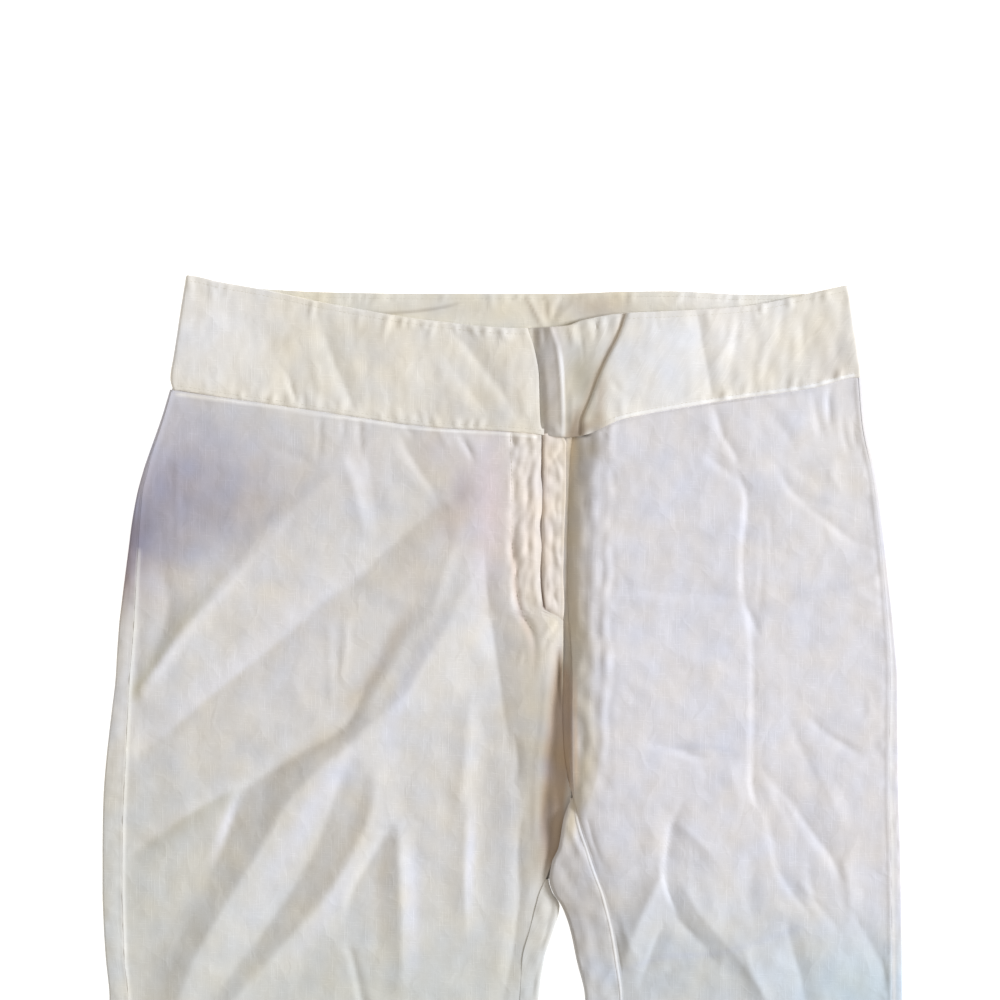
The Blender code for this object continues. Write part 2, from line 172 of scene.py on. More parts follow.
# The big centre fold of the left front: where its wall stands, the lip that hangs over the hollow, and its
# crest.
FOLD = Table(
    "y start_z foot foot_z lip lip_z crest crest_z",
    (490, 2.4, 44.5, 2.2, 46.0, 3.4, 60.0, 7.0),
    (461, 2.4, 43.0, 2.2, 44.0, 3.2, 62.0, 7.6),
    (440, 2.4, 40.5, 2.2, 41.5, 3.0, 63.0, 8.2),
    (415, 2.4, 39.6, 2.3, 40.6, 3.2, 61.5, 8.6),
    (396, 2.4, 39.2, 2.3, 40.2, 3.4, 60.0, 8.9),
    (365, 2.3, 39.0, 2.2, 40.0, 3.6, 58.5, 9.4),
    (SLIT_END, 2.2, 39.2, 2.0, 40.2, 3.8, 58.0, 9.8),
    (335, 2.0, 40.4, 1.7, 41.2, 5.0, 57.5, 10.6),
    (325, 1.7, 41.4, 1.3, 41.8, 6.2, 57.5, 11.2),
    (308, 1.6, 42.4, 1.1, 42.0, 7.8, 57.5, 11.6),
    (290, 1.3, 42.9, 1.0, 41.9, 8.4, 57.5, 11.8),
    (267, 1.2, 43.2, 1.0, 41.9, 8.6, 58.0, 11.8),
    (250, 1.3, 43.6, 1.2, 42.2, 8.6, 57.0, 11.6),
    (FOLD_TIP, 3.2, 43.6, 4.0, 43.0, 8.2, 53.0, 11.0),
    (228, 6.6, 44.8, 7.0, 45.4, 8.0, 50.5, 9.8),
    (224, 7.2, 45.5, 7.6, 46.5, 8.2, 51.0, 9.5),
    (207, 7.2, 50.6, 7.4, 52.0, 7.7, 60.0, 8.8),
    (CROTCH, 6.8, 57.2, 6.9, 58.6, 7.1, 71.0, 7.9),
    (172, 6.0, 62.4, 6.1, 64.0, 6.2, 78.0, 7.0),
    (140, 4.9, 68.6, 5.0, 70.2, 5.1, 84.0, 5.8),
    (116, 4.3, 71.6, 4.4, 73.2, 4.5, 88.0, 5.1),
    (60, 3.3, 71.6, 3.4, 73.2, 3.5, 88.0, 3.9),
    (0, 2.7, 66.2, 2.8, 67.6, 2.9, 73.0, 3.0),
    (-180, Z_FRONT, 51.2, Z_FRONT, 52.4, Z_FRONT, 58.0, 2.6),
    (HEM, Z_FRONT, 35.2, Z_FRONT, 36.4, Z_FRONT, 42.0, Z_FRONT),
)
# The waist across the garment: the seam to the front legs and the waistband's top edges. The seam to the back
# legs is straight.
ACROSS = Table(
    "x front_seam front_top back_top",
    (-200, 481.8, WAIST, 549.6),
    (-195, 481.9, WAIST, 549.3),
    (-190, 481.2, WAIST, 548.9),
    (-170, 478, 546, 545.4),
    (-145, 474.4, 541.6, 542.7),
    (-103, 468.2, 532.7, 540.6),
    (-44, 460, 523, 539.8),
    (11, 456.6, 518.2, 539.8),
    (38, 453.6, 519.6, 539.9),
    (48, 454.8, 523, 540.1),
    (70, 464, 526.8, 541),
    (101, 470.2, 528.4, 541.3),
    (144, 477.2, 531.4, 539.4),
    (187, 483.4, 539.8, 539.6),
    (211, 489.5, 544.9, 544.2),
    (216, 489.6, 545.6, 544.6),
)
BACK_SEAM = Table("x back_seam", (-200, 481.8), (216, 489.6))
# Lines that climb the front waistband, by the share of its height: side folds, the lapping end, the shadowed
# floor beside it, the crest of the underlap, and the centre fold that leans to the left side.
BAND_LINES = Table(
    "share right_edge left_edge lap_end floor crest fold",
    (0.0, -198.2, 215.0, 24.6, 27.0, 35.4, 47.2),
    (0.1, -199.8, 214.6, 22.4, 27.4, 35.6, 47.4),
    (0.3, -197.8, 213.2, 21.8, 27.4, 35.4, 52.8),
    (0.55, -195.2, 211.2, 21.4, 26.2, 34.4, 60.2),
    (0.8, -192.6, 209.2, 18.8, 25.4, 32.4, 69.2),
    (1.0, -190.2, 207.2, 14.8, 23.4, 28.4, 74.0),
)
SHIELD_EDGE = Table(
    "y x",
    (455, 36.0), (450, 37.2), (444, 37.0), (424, 37.0), (401, 36.2), (370, 35.4), (353, 36.0), (343, 35.6))


def step_up(value, low, high):
    """A soft step from 0 at low to 1 at high."""
    t = np.clip((value - low) / (high - low), 0, 1)
    return t * t * (3 - 2 * t)


def across(line, x):
    """The y of one of the waist's lines at x."""
    return (BACK_SEAM if line == "back_seam" else ACROSS)(line, x)


# ----------------------------------------
# Folds. Each row gives the fold's width on the right-hand and on the left-hand side of the way along its
# path, how sharp its line is (0 rounded, 1 pressed), and its path, as (x, y, height) with troughs below
# zero. A path that runs down the leg has -X on its right hand, and one that runs across it has the hem's
# side there.

RIGHT_FOLDS = (
    # The long trough from below the waist to the side seam, and the two short ones that meet its top.
    (26, 20, 0.85, ((-36, 415, 0), (-42, 409, -1.6), (-60, 394, -2.0), (-83, 373, -2.0), (-106, 356, -1.8),
        (-128, 336, -1.6), (-150, 318, -1.6), (-172, 301, -1.5), (-195, 281, -1.3), (-212, 268, -1.0),
        (-223, 260, -0.4))),
    (6, 16, 0.8, ((-62, 458, 0), (-59, 448, -0.8), (-52, 436, -1.1), (-44, 424, -1.1), (-37, 414, -0.6),
        (-33, 408, 0))),
    (7, 14, 0.6, ((-42, 414, 0), (-34, 417, -0.5), (-26, 419, -0.6), (-18, 426, 0))),
    # The ridge above it, which runs to the hip.
    (20, 26, 0.9, ((-92, 440, 0), (-108, 426, 0.9), (-128, 408, 1.3), (-138, 394, 1.4), (-152, 380, 1.3),
        (-165, 365, 2.0), (-179, 351, 2.3), (-189, 340, 2.3), (-197, 329, 2.2), (-212, 307, 1.4),
        (-222, 293, 0))),
    (11, 12, 0.7, ((-210, 388, 0), (-205, 372, -0.5), (-201, 355, -0.8), (-203, 340, -0.8),
        (-209, 326, -0.5), (-216, 314, 0))),
    (3, 3, 0.9, ((-195, 458, 0), (-195.6, 434, 0.3), (-195, 400, 0.3), (-194, 382, 0))),
    # The deep fold: its trough, then its long ridge.
    (12, 12, 0.9, ((-64, 338, 0), (-73, 320, -0.5), (-83, 302, -0.9), (-90, 286, -1.7), (-102, 274, -2.1),
        (-117, 266, -2.1), (-131, 258, -2.1), (-145, 249, -1.9), (-156, 243, -1.3), (-162, 240, 0))),
    (8, 16, 0.9, ((-152, 245, 0), (-158, 237, -1.2), (-162, 227, -1.6), (-166, 215, -1.4), (-170, 203, -0.7),
        (-178, 186, -0.3), (-188, 162, -0.2), (-199, 136, -0.2), (-208, 110, 0))),
    (22, 34, 0.7, ((-6, 392, 0), (-13, 377, 1.0), (-25, 357, 1.7), (-35, 337, 2.2), (-46, 321, 2.5),
        (-58, 300, 2.8), (-78, 282, 3.2), (-98, 264, 3.5), (-115, 250, 3.8), (-130, 233, 3.8),
        (-147, 204, 3.6), (-165, 175, 3.4), (-185, 141, 3.0), (-194, 117, 2.6), (-204, 82, 1.6),
        (-212, 40, 0))),
    (12, 8, 0.7, ((-24, 402, 0), (-32, 383, 0.7), (-37, 366, 0.8), (-43, 350, 0.7), (-55, 334, 0.4),
        (-63, 322, 0.5), (-72, 307, 0.6), (-80, 294, 0.6), (-85, 284, 0))),
    # The lit flank below the long ridge, which the next shadow cuts off.
    (13, 10, 0.85, ((-86, 268, 0), (-97, 248, -0.7), (-105, 226, -1.0), (-114, 204, -1.0), (-130, 176, -0.9),
        (-148, 150, -0.7), (-170, 122, -0.5), (-188, 98, 0))),
    # The trough that meets it from the side seam.
    (16, 14, 0.85, ((-156, 241, 0), (-165, 240, -0.9), (-180, 232, -1.2), (-196, 221, -1.2),
        (-211, 210, -1.0), (-222, 204, -0.6), (-229, 200, 0))),
    # The next ridge below, with the trough that starts at its foot.
    (20, 24, 0.8, ((-75, 264, 0), (-77, 247, 1.2), (-79, 230, 2.0), (-86, 212, 2.3), (-98, 190, 2.4),
        (-110, 173, 2.5), (-125, 157, 2.5), (-140, 140, 2.4), (-160, 118, 2.0), (-178, 92, 1.2),
        (-196, 62, 0))),
    (6, 12, 0.85, ((-66, 222, 0), (-72, 213, -0.9), (-79, 201, -1.1), (-86, 189, -1.1), (-92, 176, -0.8),
        (-96, 156, 0))),
    (14, 12, 0.85, ((-65, 224, 0), (-62.5, 214, 1.6), (-62, 195, 2.0), (-61.5, 175, 1.9), (-61, 155, 1.5),
        (-61, 135, 1.0), (-60, 105, 0))),
    (3, 4, 0.8, ((-80, 219, 0), (-72, 217.5, -0.5), (-64, 217, -0.5), (-60, 219, 0))),
    (3, 3, 0.8, ((-63, 200, 0), (-57, 200.5, -0.35), (-50, 201.5, -0.35), (-44, 201, 0))),
    (4, 4, 0.8, ((-60, 221, 0), (-55, 224, -0.3), (-49, 222, -0.3), (-45, 219, 0))),
    # The narrow pleat beside the centre.
    (13, 15, 0.9, ((-19, 304, 0), (-21, 282, 0.8), (-22.5, 262, 1.1), (-24, 248, 1.2), (-25.5, 238, 0.9),
        (-27, 226, 0))),
    (14, 11, 0.9, ((-19, 240, 0), (-21.5, 228, 1.0), (-23, 210, 1.3), (-23.5, 190, 1.3), (-23, 172, 1.0),
        (-22, 157, 0.5), (-21, 143, 0))),
    # The line beside the bright panel under the fly.
    (12, 14, 0.9, ((-12, 392, 0), (-10.5, 376, -0.8), (-9.5, 360, -1.1), (-7.5, 345, -1.2),
        (-4.5, 325, -1.2), (-1.5, 305, -1.0), (0.5, 290, -0.8), (4, 268, -0.8), (7, 250, -0.7),
        (11, 235, -0.4), (13, 224, 0))),
    (4, 6, 0.6, ((6, 276, 0), (8, 268, -0.6), (9, 256, -0.7), (9, 246, 0))),
    (9, 9, 0.8, ((13, 232, 0), (10, 217, -0.8), (9, 200, -1.0), (9.5, 180, -1.0), (8.5, 165, -0.9),
        (6, 145, -0.8), (2, 125, -0.6), (-3, 105, 0))),
    (5, 6, 0.85, ((-95, 152, 0), (-91, 143, -0.8), (-88, 131, -1.0), (-85, 117, -0.9), (-81, 102, 0))),
    # Short dents under the waist seam.
    (4, 4, 0.8, ((-86.5, 466, 0), (-86, 458, -0.7), (-85.5, 448, -0.5), (-85, 440, 0))),
    (12, 10, 0.8, ((-86, 446, 0), (-81, 438, -0.5), (-78.5, 424, -0.6), (-76, 404, -0.4), (-74, 388, 0))),
    (10, 8, 0.8, ((-99, 446, 0), (-93, 434, 0.7), (-88, 418, 0.7), (-84, 402, 0.6), (-80, 388, 0))),
    (3, 4, 0.7, ((-110.5, 470, 0), (-110, 460, -0.5), (-110.5, 446, -0.4), (-112, 436, 0))),
    (3, 4, 0.7, ((-96.5, 468, 0), (-96, 459, -0.5), (-97, 449, 0))),
    (5, 6, 0.6, ((-145, 450, 0), (-134, 445, -0.4), (-120, 440, -0.4), (-110, 434, 0))),
    (4, 5, 0.8, ((-60, 462, 0), (-56.5, 457, -0.6), (-53, 452, 0))),
    (4, 5, 0.8, ((-28, 458, 0), (-23, 449, -0.9), (-19, 442, -0.6), (-17, 436, 0))),
    (4, 4, 0.7, ((-39, 460, 0), (-36, 453, 0.5), (-33, 446, 0))),
    (4, 4, 0.6, ((-95, 350, 0), (-94.5, 335, 0.45), (-95.5, 318, 0.4), (-97, 300, 0))),
    (4, 4, 0.6, ((-104, 345, 0), (-104, 325, 0.3), (-103, 300, 0.3), (-104, 285, 0))),
    # The stitched J of the fly, the puffed lap beside it and the pinch at the slit's end.
    (4, 4, 0.6, ((5, 460, 0), (6, 452, -0.9), (7.5, 445, 0))),
    (5, 5, 0.4, ((8, 442, 0), (8, 428, -0.5), (7.5, 412, -0.5), (9, 404, -0.5), (13, 399, 0))),
    (3, 3, 0.6, ((17, 444, 0), (16.4, 435, -0.4), (14.6, 426, -0.5), (15, 414, -0.5), (13, 404, -0.3),
        (14, 394, 0))),
    (4.5, 5, 0.7, ((5, 412, 0), (6.2, 401, -0.9), (5.4, 391, -1.2), (6.4, 381, -1.3), (8.0, 372, -1.2),
        (7.8, 363, -1.2), (9.4, 353, -1.3), (12.5, 345, -1.2), (16.5, 338, -1.0), (19, 327, -0.6),
        (18, 308, 0))),
    (4, 4, 0.6, ((12.5, 366, 0), (13.5, 358, -0.6), (15.5, 350, -0.6), (18, 345, 0))),
    (4, 4, 0.4, ((18, 452, 0), (19, 440, 0.5), (18.2, 424, 0.3), (19.2, 408, 0.6), (18, 392, 0.4),
        (18.8, 374, 0.7), (20, 358, 0.4), (22, 347, 0))),
    (2.5, 2.5, 0.7, ((34, 346, 0), (30, 341, 0.6), (26, 337, 0.5), (23, 333, 0))),
    (2.5, 2.5, 0.7, ((34, 343, 0), (30, 336, -0.5), (26, 330, -0.5), (24, 324, 0))),
    (3, 3, 0.6, ((12, 326, 0), (10.5, 321, 0.5), (9.5, 315, 0))),
    # Plain folds down the rest of the leg.
    (30, 34, 0.5, ((-30, 150, 0), (-32, 90, 1.2), (-38, 10, 1.5), (-46, -80, 1.2), (-50, -150, 0))),
    (28, 24, 0.6, ((-84, 122, 0), (-78, 70, -1.0), (-74, 0, -1.1), (-80, -70, 0))),
    (34, 30, 0.5, ((-128, 60, 0), (-122, -10, 1.4), (-120, -90, 1.6), (-128, -190, 1.2), (-134, -260, 0))),
    (24, 28, 0.7, ((-216, 10, 0), (-190, -30, -0.9), (-162, -62, -1.1), (-132, -88, 0))),
    (26, 30, 0.5, ((-60, -60, 0), (-68, -150, 1.3), (-76, -260, 1.2), (-82, -380, 0))),
    (22, 26, 0.7, ((-20, -110, 0), (-52, -136, -0.8), (-90, -150, -0.9), (-124, -156, 0))),
    (32, 30, 0.5, ((-190, -120, 0), (-186, -210, 1.3), (-190, -320, 1.3), (-198, -440, 0))),
    (24, 22, 0.7, ((-232, -236, 0), (-202, -262, -0.9), (-170, -282, -0.9), (-140, -292, 0))),
    (28, 26, 0.5, ((-118, -300, 0), (-124, -380, 1.1), (-128, -470, 0.8), (-132, -535, 0))),
    (22, 24, 0.6, ((-26, -300, 0), (-44, -360, -0.8), (-58, -440, -0.7), (-64, -500, 0))),
)

LEFT_FOLDS = (
    # The pressed line down the middle of the leg, and the two short ones that lead into it.
    (3.5, 15, 0.85, ((138, 436, 0), (143, 427, -0.8), (146, 416, -1.2), (145.5, 404, -1.2), (144, 390, -1.1),
        (143.5, 370, -1.0), (144.5, 356, -0.8), (148, 342, -0.5), (149, 330, 0))),
    (2.8, 12, 0.85, ((145, 354, 0), (148, 342, -0.6), (149.2, 325, -0.7), (149.4, 300, -0.7),
        (149.2, 275, -0.7), (149, 255, -0.8), (149, 244, -1.2), (151, 236, -0.8), (154, 228, 0))),
    (4, 8, 0.85, ((124, 478, 0), (128, 466, -0.6), (132, 454, -0.7), (137, 446, -0.8), (140, 440, -0.6),
        (142, 433, 0))),
    (5, 8, 0.85, ((116, 446, 0), (124, 440, -0.5), (132, 434, -0.7), (139, 429, -0.7), (144, 422, 0))),
    (3, 5, 0.8, ((155, 402, 0), (155.5, 392, -0.3), (155, 374, -0.3), (153.5, 352, -0.25), (152, 340, 0))),
    (3, 5, 0.8, ((160, 410, 0), (160.5, 400, -0.3), (160, 386, -0.3), (161, 372, 0))),
    (3, 4, 0.8, ((147, 352, 0), (149, 346, -0.6), (152, 338, -0.6), (154, 332, 0))),
    (9, 9, 0.7, ((134, 262, 0), (137, 252, 0.6), (140, 240, 0.6), (144, 226, 0))),
    # Storage creases across the leg.
    (4, 12, 0.85, ((58, 361, 0), (76, 360, -0.6), (92, 359.3, -1.0), (112, 358, -1.1), (130, 357, -1.0),
        (146, 356, 0))),
    (12, 5, 0.85, ((152, 351, 0), (166, 354.5, 0.9), (184, 357.5, 1.3), (202, 361, 1.3), (220, 366, 1.1),
        (231, 370, 0))),
    (4, 9, 0.85, ((80, 271, 0), (93, 268, -0.9), (106, 265, -1.3), (117, 261, -1.3), (132, 260.5, -1.1),
        (146, 262, 0))),
    # The slanting creases towards the side seam.
    (4.5, 11, 0.9, ((164, 438, 0), (167, 431, -0.4), (172, 422, -0.6), (180, 414, -0.6), (190, 406, -0.6),
        (199, 399, -0.8), (208, 392, -0.7), (218, 388, -0.4), (229, 384, 0))),
    (3, 5, 0.85, ((172, 421, 0), (180, 417, -0.3), (190, 413.5, -0.4), (200, 411, -0.3), (210, 409, 0))),
    (5, 8, 0.7, ((156, 432, 0), (164, 434, -0.6), (174, 436, -0.9), (186, 439, -0.8), (198, 441, 0))),
    (6, 6, 0.6, ((199, 442, 0), (197, 433, 0.5), (200, 425, 0.5), (205, 418, 0))),
    (7, 4, 0.85, ((178, 289, 0), (187, 282, -0.6), (195, 275, -0.7), (203, 270, -0.8), (210, 265.5, -0.7),
        (217, 262, 0))),
    (6, 15, 0.9, ((153, 262, 0), (158, 251, -0.5), (165, 242, -0.7), (173, 234, -0.8), (178, 226, -1.0),
        (184, 218, -1.2), (190, 210, -1.2), (196, 202, -1.2), (200, 194, -0.8), (203, 186, 0))),
    (4, 6, 0.7, ((161, 242, 0), (167, 233, -0.4), (172, 224, -0.4), (176, 214, 0))),
    (8, 8, 0.7, ((170, 290, 0), (174, 279, -0.4), (180, 264, -0.5), (188, 249, -0.5), (196, 236, 0))),
    (10, 10, 0.6, ((184, 262, 0), (192, 246, 0.6), (200, 230, 0.7), (206, 216, 0))),
    (4.5, 10, 0.9, ((157, 232, 0), (160.5, 218, -0.5), (162.5, 204, -0.6), (166, 192, -0.6),
        (172, 182, -0.7), (180, 172, -0.7), (185, 165, 0))),
    (5, 11, 0.8, ((182, 206, 0), (184, 190, -0.5), (186, 178, -0.6), (191, 170, -0.6), (198, 162, -0.4),
        (203, 156, 0))),
    (6, 9, 0.7, ((202, 204, 0), (206, 193, 0.6), (208, 180, 0.6), (209, 168, 0.5), (210, 158, 0))),
    (12, 10, 0.85, ((204, 176, 0), (211, 165, -0.7), (217, 156, -0.8), (222, 147, -0.8), (227, 137, -0.9),
        (231, 127, -0.7), (234, 114, 0))),
    # The star above the knee: its stem, the lit triangle, and the deep shadow that runs from it to the hem
    # side.
    (3.6, 13, 0.9, ((109, 238, 0), (105, 230, -0.5), (101, 221, -1.2), (99, 211, -1.3), (98, 202, -1.3),
        (96.5, 193, -1.3), (99, 181, -1.1), (103, 171, -0.7), (106, 164, 0))),
    (14, 16, 0.9, ((99, 202, 0), (95, 191, 1.5), (88, 177, 2.1), (81, 162, 2.0), (75, 147, 1.3),
        (70, 134, 0))),
    (9, 20, 0.85, ((99, 225, 0), (106, 221, 1.0), (114, 214, 1.2), (122, 206, 1.1), (129, 198, 0.6),
        (134, 192, 0))),
    (13, 28, 0.85, ((103, 194, 0), (109, 182, 1.1), (119, 166, 1.4), (131, 152, 1.5), (144, 137, 1.6),
        (155, 121, 1.4), (166, 102, 1.0), (178, 80, 0))),
    (10, 8, 0.85, ((97, 174, 0), (104, 165, -0.8), (113, 156, -1.0), (121, 148, -0.7), (128, 141, 0))),
    (10, 9, 0.5, ((78, 205, 0), (86, 202, 0.5), (90, 214, 0.6), (90, 226, 0))),
    (4.5, 12, 0.85, ((97, 162, 0), (93, 155, -0.8), (89.5, 146, -0.9), (86, 136, -0.8), (83, 128, -0.5),
        (81, 118, 0))),
    (6, 8, 0.8, ((86, 128, 0), (98, 133, -1.0), (110, 138, -1.3), (122, 141, -1.2), (132, 140, 0))),
    (18, 12, 0.9, ((170, 166, 0), (171.5, 157, -0.9), (174, 145, -1.3), (178, 132, -1.3), (181, 119, -0.9),
        (186, 102, 0))),
    (6, 6, 0.8, ((146, 150, 0), (154, 148, -0.6), (163, 151, -0.8), (171, 158, 0))),
    (3, 5, 0.8, ((66, 176, 0), (72, 160, 0.4), (76, 148, 0.4), (82, 138, 0))),
    (8, 8, 0.8, ((139, 152, 0), (145, 143, 0.6), (149, 134, 0.7), (154, 123, 0.5), (159, 110, 0))),
    (5, 3, 0.8, ((176, 190, 0), (182, 182, 0.4), (190, 176, 0.3), (198, 173, 0))),
    (9, 9, 0.5, ((118, 200, 0), (124, 186, 0.3), (126, 170, 0.4), (124, 156, 0))),
    (10, 10, 0.5, ((152, 216, 0), (150, 196, -0.4), (148, 176, -0.5), (152, 156, 0))),
    # Dents beside the inseam and under the waist seam.
    (3, 4, 0.8, ((49.5, 228, 0), (52, 219, -0.6), (55, 208, -0.4), (58.5, 199, -0.2), (61, 193, 0))),
    (3.5, 5, 0.8, ((50, 424, 0), (52, 415, 0.6), (54, 405, 0.5), (56, 394, 0))),
    (4, 5, 0.8, ((197, 486, 0), (195.5, 476, -0.9), (196, 466, -0.7), (197, 456, 0))),
    (5, 6, 0.7, ((186, 484, 0), (187, 472, -0.5), (190, 460, -0.5), (192, 450, 0))),
    (10, 8, 0.7, ((122, 470, 0), (124, 458, 0.5), (122, 444, 0.4), (118, 432, 0))),
    (3, 4, 0.7, ((203, 470, 0), (204, 458, -0.5), (206, 449, -0.4), (209, 440, 0))),
    (3, 4, 0.7, ((210, 466, 0), (211, 455, -0.5), (212, 445, 0))),
    (7, 8, 0.6, ((158, 470, 0), (164, 463, -0.5), (171, 454, -0.5), (178, 444, 0))),
    (8, 8, 0.5, ((146, 476, 0), (147, 464, 0.4), (149, 452, 0.4), (152, 440, 0))),
    (4, 5, 0.5, ((112, 326, 0), (130, 320, -0.3), (134, 312, 0))),
    (3, 3, 0.7, ((219, 302, 0), (220, 292, 0.4), (220, 284, 0))),
    # Plain folds down the rest of the leg.
    (26, 28, 0.5, ((98, 118, 0), (94, 70, 1.2), (92, 0, 1.4), (90, -90, 1.2), (86, -160, 0))),
    (26, 30, 0.5, ((150, 70, 0), (146, -10, 1.4), (148, -100, 1.5), (152, -210, 1.2), (156, -280, 0))),
    (22, 26, 0.7, ((228, 30, 0), (200, -6, -0.9), (172, -40, -1.1), (146, -70, 0))),
    (26, 24, 0.5, ((206, 60, 0), (208, -30, 1.1), (212, -140, 1.3), (214, -240, 0))),
    (24, 24, 0.7, ((66, -110, 0), (96, -140, -0.9), (130, -164, -1.0), (160, -178, 0))),
    (30, 28, 0.5, ((100, -170, 0), (96, -270, 1.3), (92, -370, 1.2), (86, -470, 0))),
    (28, 26, 0.5, ((206, -250, 0), (202, -350, 1.2), (204, -460, 0.9), (208, -530, 0))),
    (22, 24, 0.7, ((236, -290, 0), (206, -312, -0.8), (176, -330, -0.9), (150, -338, 0))),
    (26, 24, 0.5, ((150, -380, 0), (148, -440, 1.0), (146, -500, 0.6), (146, -535, 0))),
)

# Soft folds of the back panels. They lie on the table, so these only lift off it.
BACK_FOLDS = (
    (30, 34, 0.4, ((-60, 440, 0), (-104, 392, 0.5), (-150, 342, 0.6), (-200, 300, 0))),
    (26, 30, 0.4, ((-20, 330, 0), (-50, 270, 0.5), (-96, 214, 0.6), (-150, 160, 0))),
    (30, 26, 0.4, ((-70, 130, 0), (-76, 40, 0.5), (-84, -80, 0.5), (-90, -180, 0))),
    (30, 30, 0.4, ((-180, 60, 0), (-172, -60, 0.5), (-178, -200, 0.5), (-190, -330, 0))),
    (30, 26, 0.4, ((-90, -240, 0), (-96, -330, 0.5), (-104, -450, 0))),
    (30, 30, 0.4, ((90, 430, 0), (128, 380, 0.5), (160, 320, 0.6), (204, 280, 0))),
    (26, 30, 0.4, ((76, 300, 0), (100, 230, 0.5), (136, 180, 0.5), (180, 150, 0))),
    (30, 30, 0.4, ((120, 90, 0), (126, -10, 0.5), (122, -120, 0.5), (118, -220, 0))),
    (28, 30, 0.4, ((200, 40, 0), (196, -80, 0.5), (204, -220, 0.5), (214, -340, 0))),
    (30, 26, 0.4, ((110, -280, 0), (104, -380, 0.5), (98, -480, 0))),
)

BAND_RIGHT_FOLDS = (
    (9, 11, 0.85, ((-112, 530, 0), (-107, 514, -1.0), (-102, 500, -1.3), (-96, 486, -1.5), (-91, 475, -1.2),
        (-88, 467, 0))),
    (5, 6, 0.8, ((-120, 524, 0), (-116, 506, 0.4), (-112, 490, 0.5), (-109, 474, 0))),
    (6, 10, 0.7, ((-36, 520, 0), (-24, 510, -0.6), (-13, 496, -0.9), (-3, 484, -0.9), (5, 471, -0.5),
        (8, 462, 0))),
    (7, 9, 0.7, ((-34, 502, 0), (-27, 490, -0.5), (-16, 476, -0.7), (-9, 467, -0.5), (-6, 460, 0))),
    (3, 3, 0.85, ((-134, 498, 0), (-129, 489, -0.7), (-126, 480, -1.1), (-123, 471, 0))),
    (16, 18, 0.5, ((-180, 540, 0), (-168, 522, 0.5), (-164, 504, 0.5), (-168, 486, 0))),
    (14, 14, 0.5, ((-150, 536, 0), (-142, 516, -0.4), (-144, 498, -0.4), (-150, 482, 0))),
    (14, 16, 0.5, ((-80, 524, 0), (-70, 508, 0.6), (-60, 490, 0.6), (-54, 470, 0))),
    (10, 12, 0.6, ((-52, 516, 0), (-44, 500, -0.4), (-40, 484, -0.5), (-42, 468, 0))),
    (8, 8, 0.5, ((8, 512, 0), (12, 496, 0.4), (14, 478, 0.5), (15, 462, 0))),
)

BAND_LEFT_FOLDS = (
    (4, 4, 0.8, ((62, 490, 0), (66, 486, -0.6), (70, 481, -0.6), (76, 478, 0))),
    (1.6, 1.8, 0.6, ((42, 523, 0), (41.5, 516, 0.6), (42, 508, 0))),
    (1.6, 1.8, 0.6, ((46, 524, 0), (46.5, 515, -0.7), (48, 504, -0.4), (48, 496, 0))),
    (1.6, 1.8, 0.6, ((51, 525, 0), (52, 518, 0.7), (52, 509, 0))),
    (1.8, 1.8, 0.6, ((56, 526, 0), (56, 519, -0.7), (55, 510, 0))),
    (1.6, 1.6, 0.6, ((61, 527, 0), (60, 519, 0.6), (58, 510, 0))),
    (12, 8, 0.9, ((114, 534, 0), (117, 524, -1.0), (120, 508, -1.2), (123, 492, -1.3), (125.5, 478, -1.1),
        (126, 470, 0))),
    (5, 5, 0.8, ((138, 526, 0), (136, 514, 0.5), (131, 502, 0.6), (127, 492, 0))),
    (10, 12, 0.5, ((92, 522, 0), (86, 508, 0.4), (83, 494, 0.4), (80, 478, 0))),
    (8, 9, 0.6, ((142, 530, 0), (140, 512, -0.5), (136, 496, -0.6), (134, 480, 0))),
    (10, 10, 0.6, ((164, 534, 0), (158, 516, 0.5), (156, 500, 0.5), (152, 482, 0))),
    (7, 9, 0.6, ((186, 538, 0), (180, 520, -0.5), (182, 504, -0.6), (188, 488, 0))),
    (6, 7, 0.6, ((204, 540, 0), (202, 522, -0.5), (200, 508, -0.6), (203, 492, 0))),
)

SHIELD_FOLDS = (
    (2.5, 2.5, 0.6, ((36, 448, 0), (33, 443, -0.5), (29, 438, -0.5), (26, 435, 0))),
    (2.5, 2.5, 0.6, ((27, 446, 0), (31, 440, 0.4), (34, 432, 0.5), (35, 422, 0))),
    (2.5, 2.5, 0.6, ((33, 420, 0), (31, 413, -0.4), (32, 406, -0.4), (30, 400, 0))),
    (3, 3, 0.5, ((28, 406, 0), (30, 396, -0.5), (29, 384, -0.4), (31, 374, 0))),
    (2.5, 2.5, 0.6, ((35, 392, 0), (32, 387, 0.4), (33, 380, 0.5), (35, 374, 0))),
    (2.2, 2.2, 0.6, ((33, 364, 0), (31, 359, -0.4), (32, 354, -0.4), (34, 349, 0))),
    (2.5, 3, 0.5, ((26, 376, 0), (28, 366, 0.5), (27, 356, 0.4), (28, 348, 0))),
)

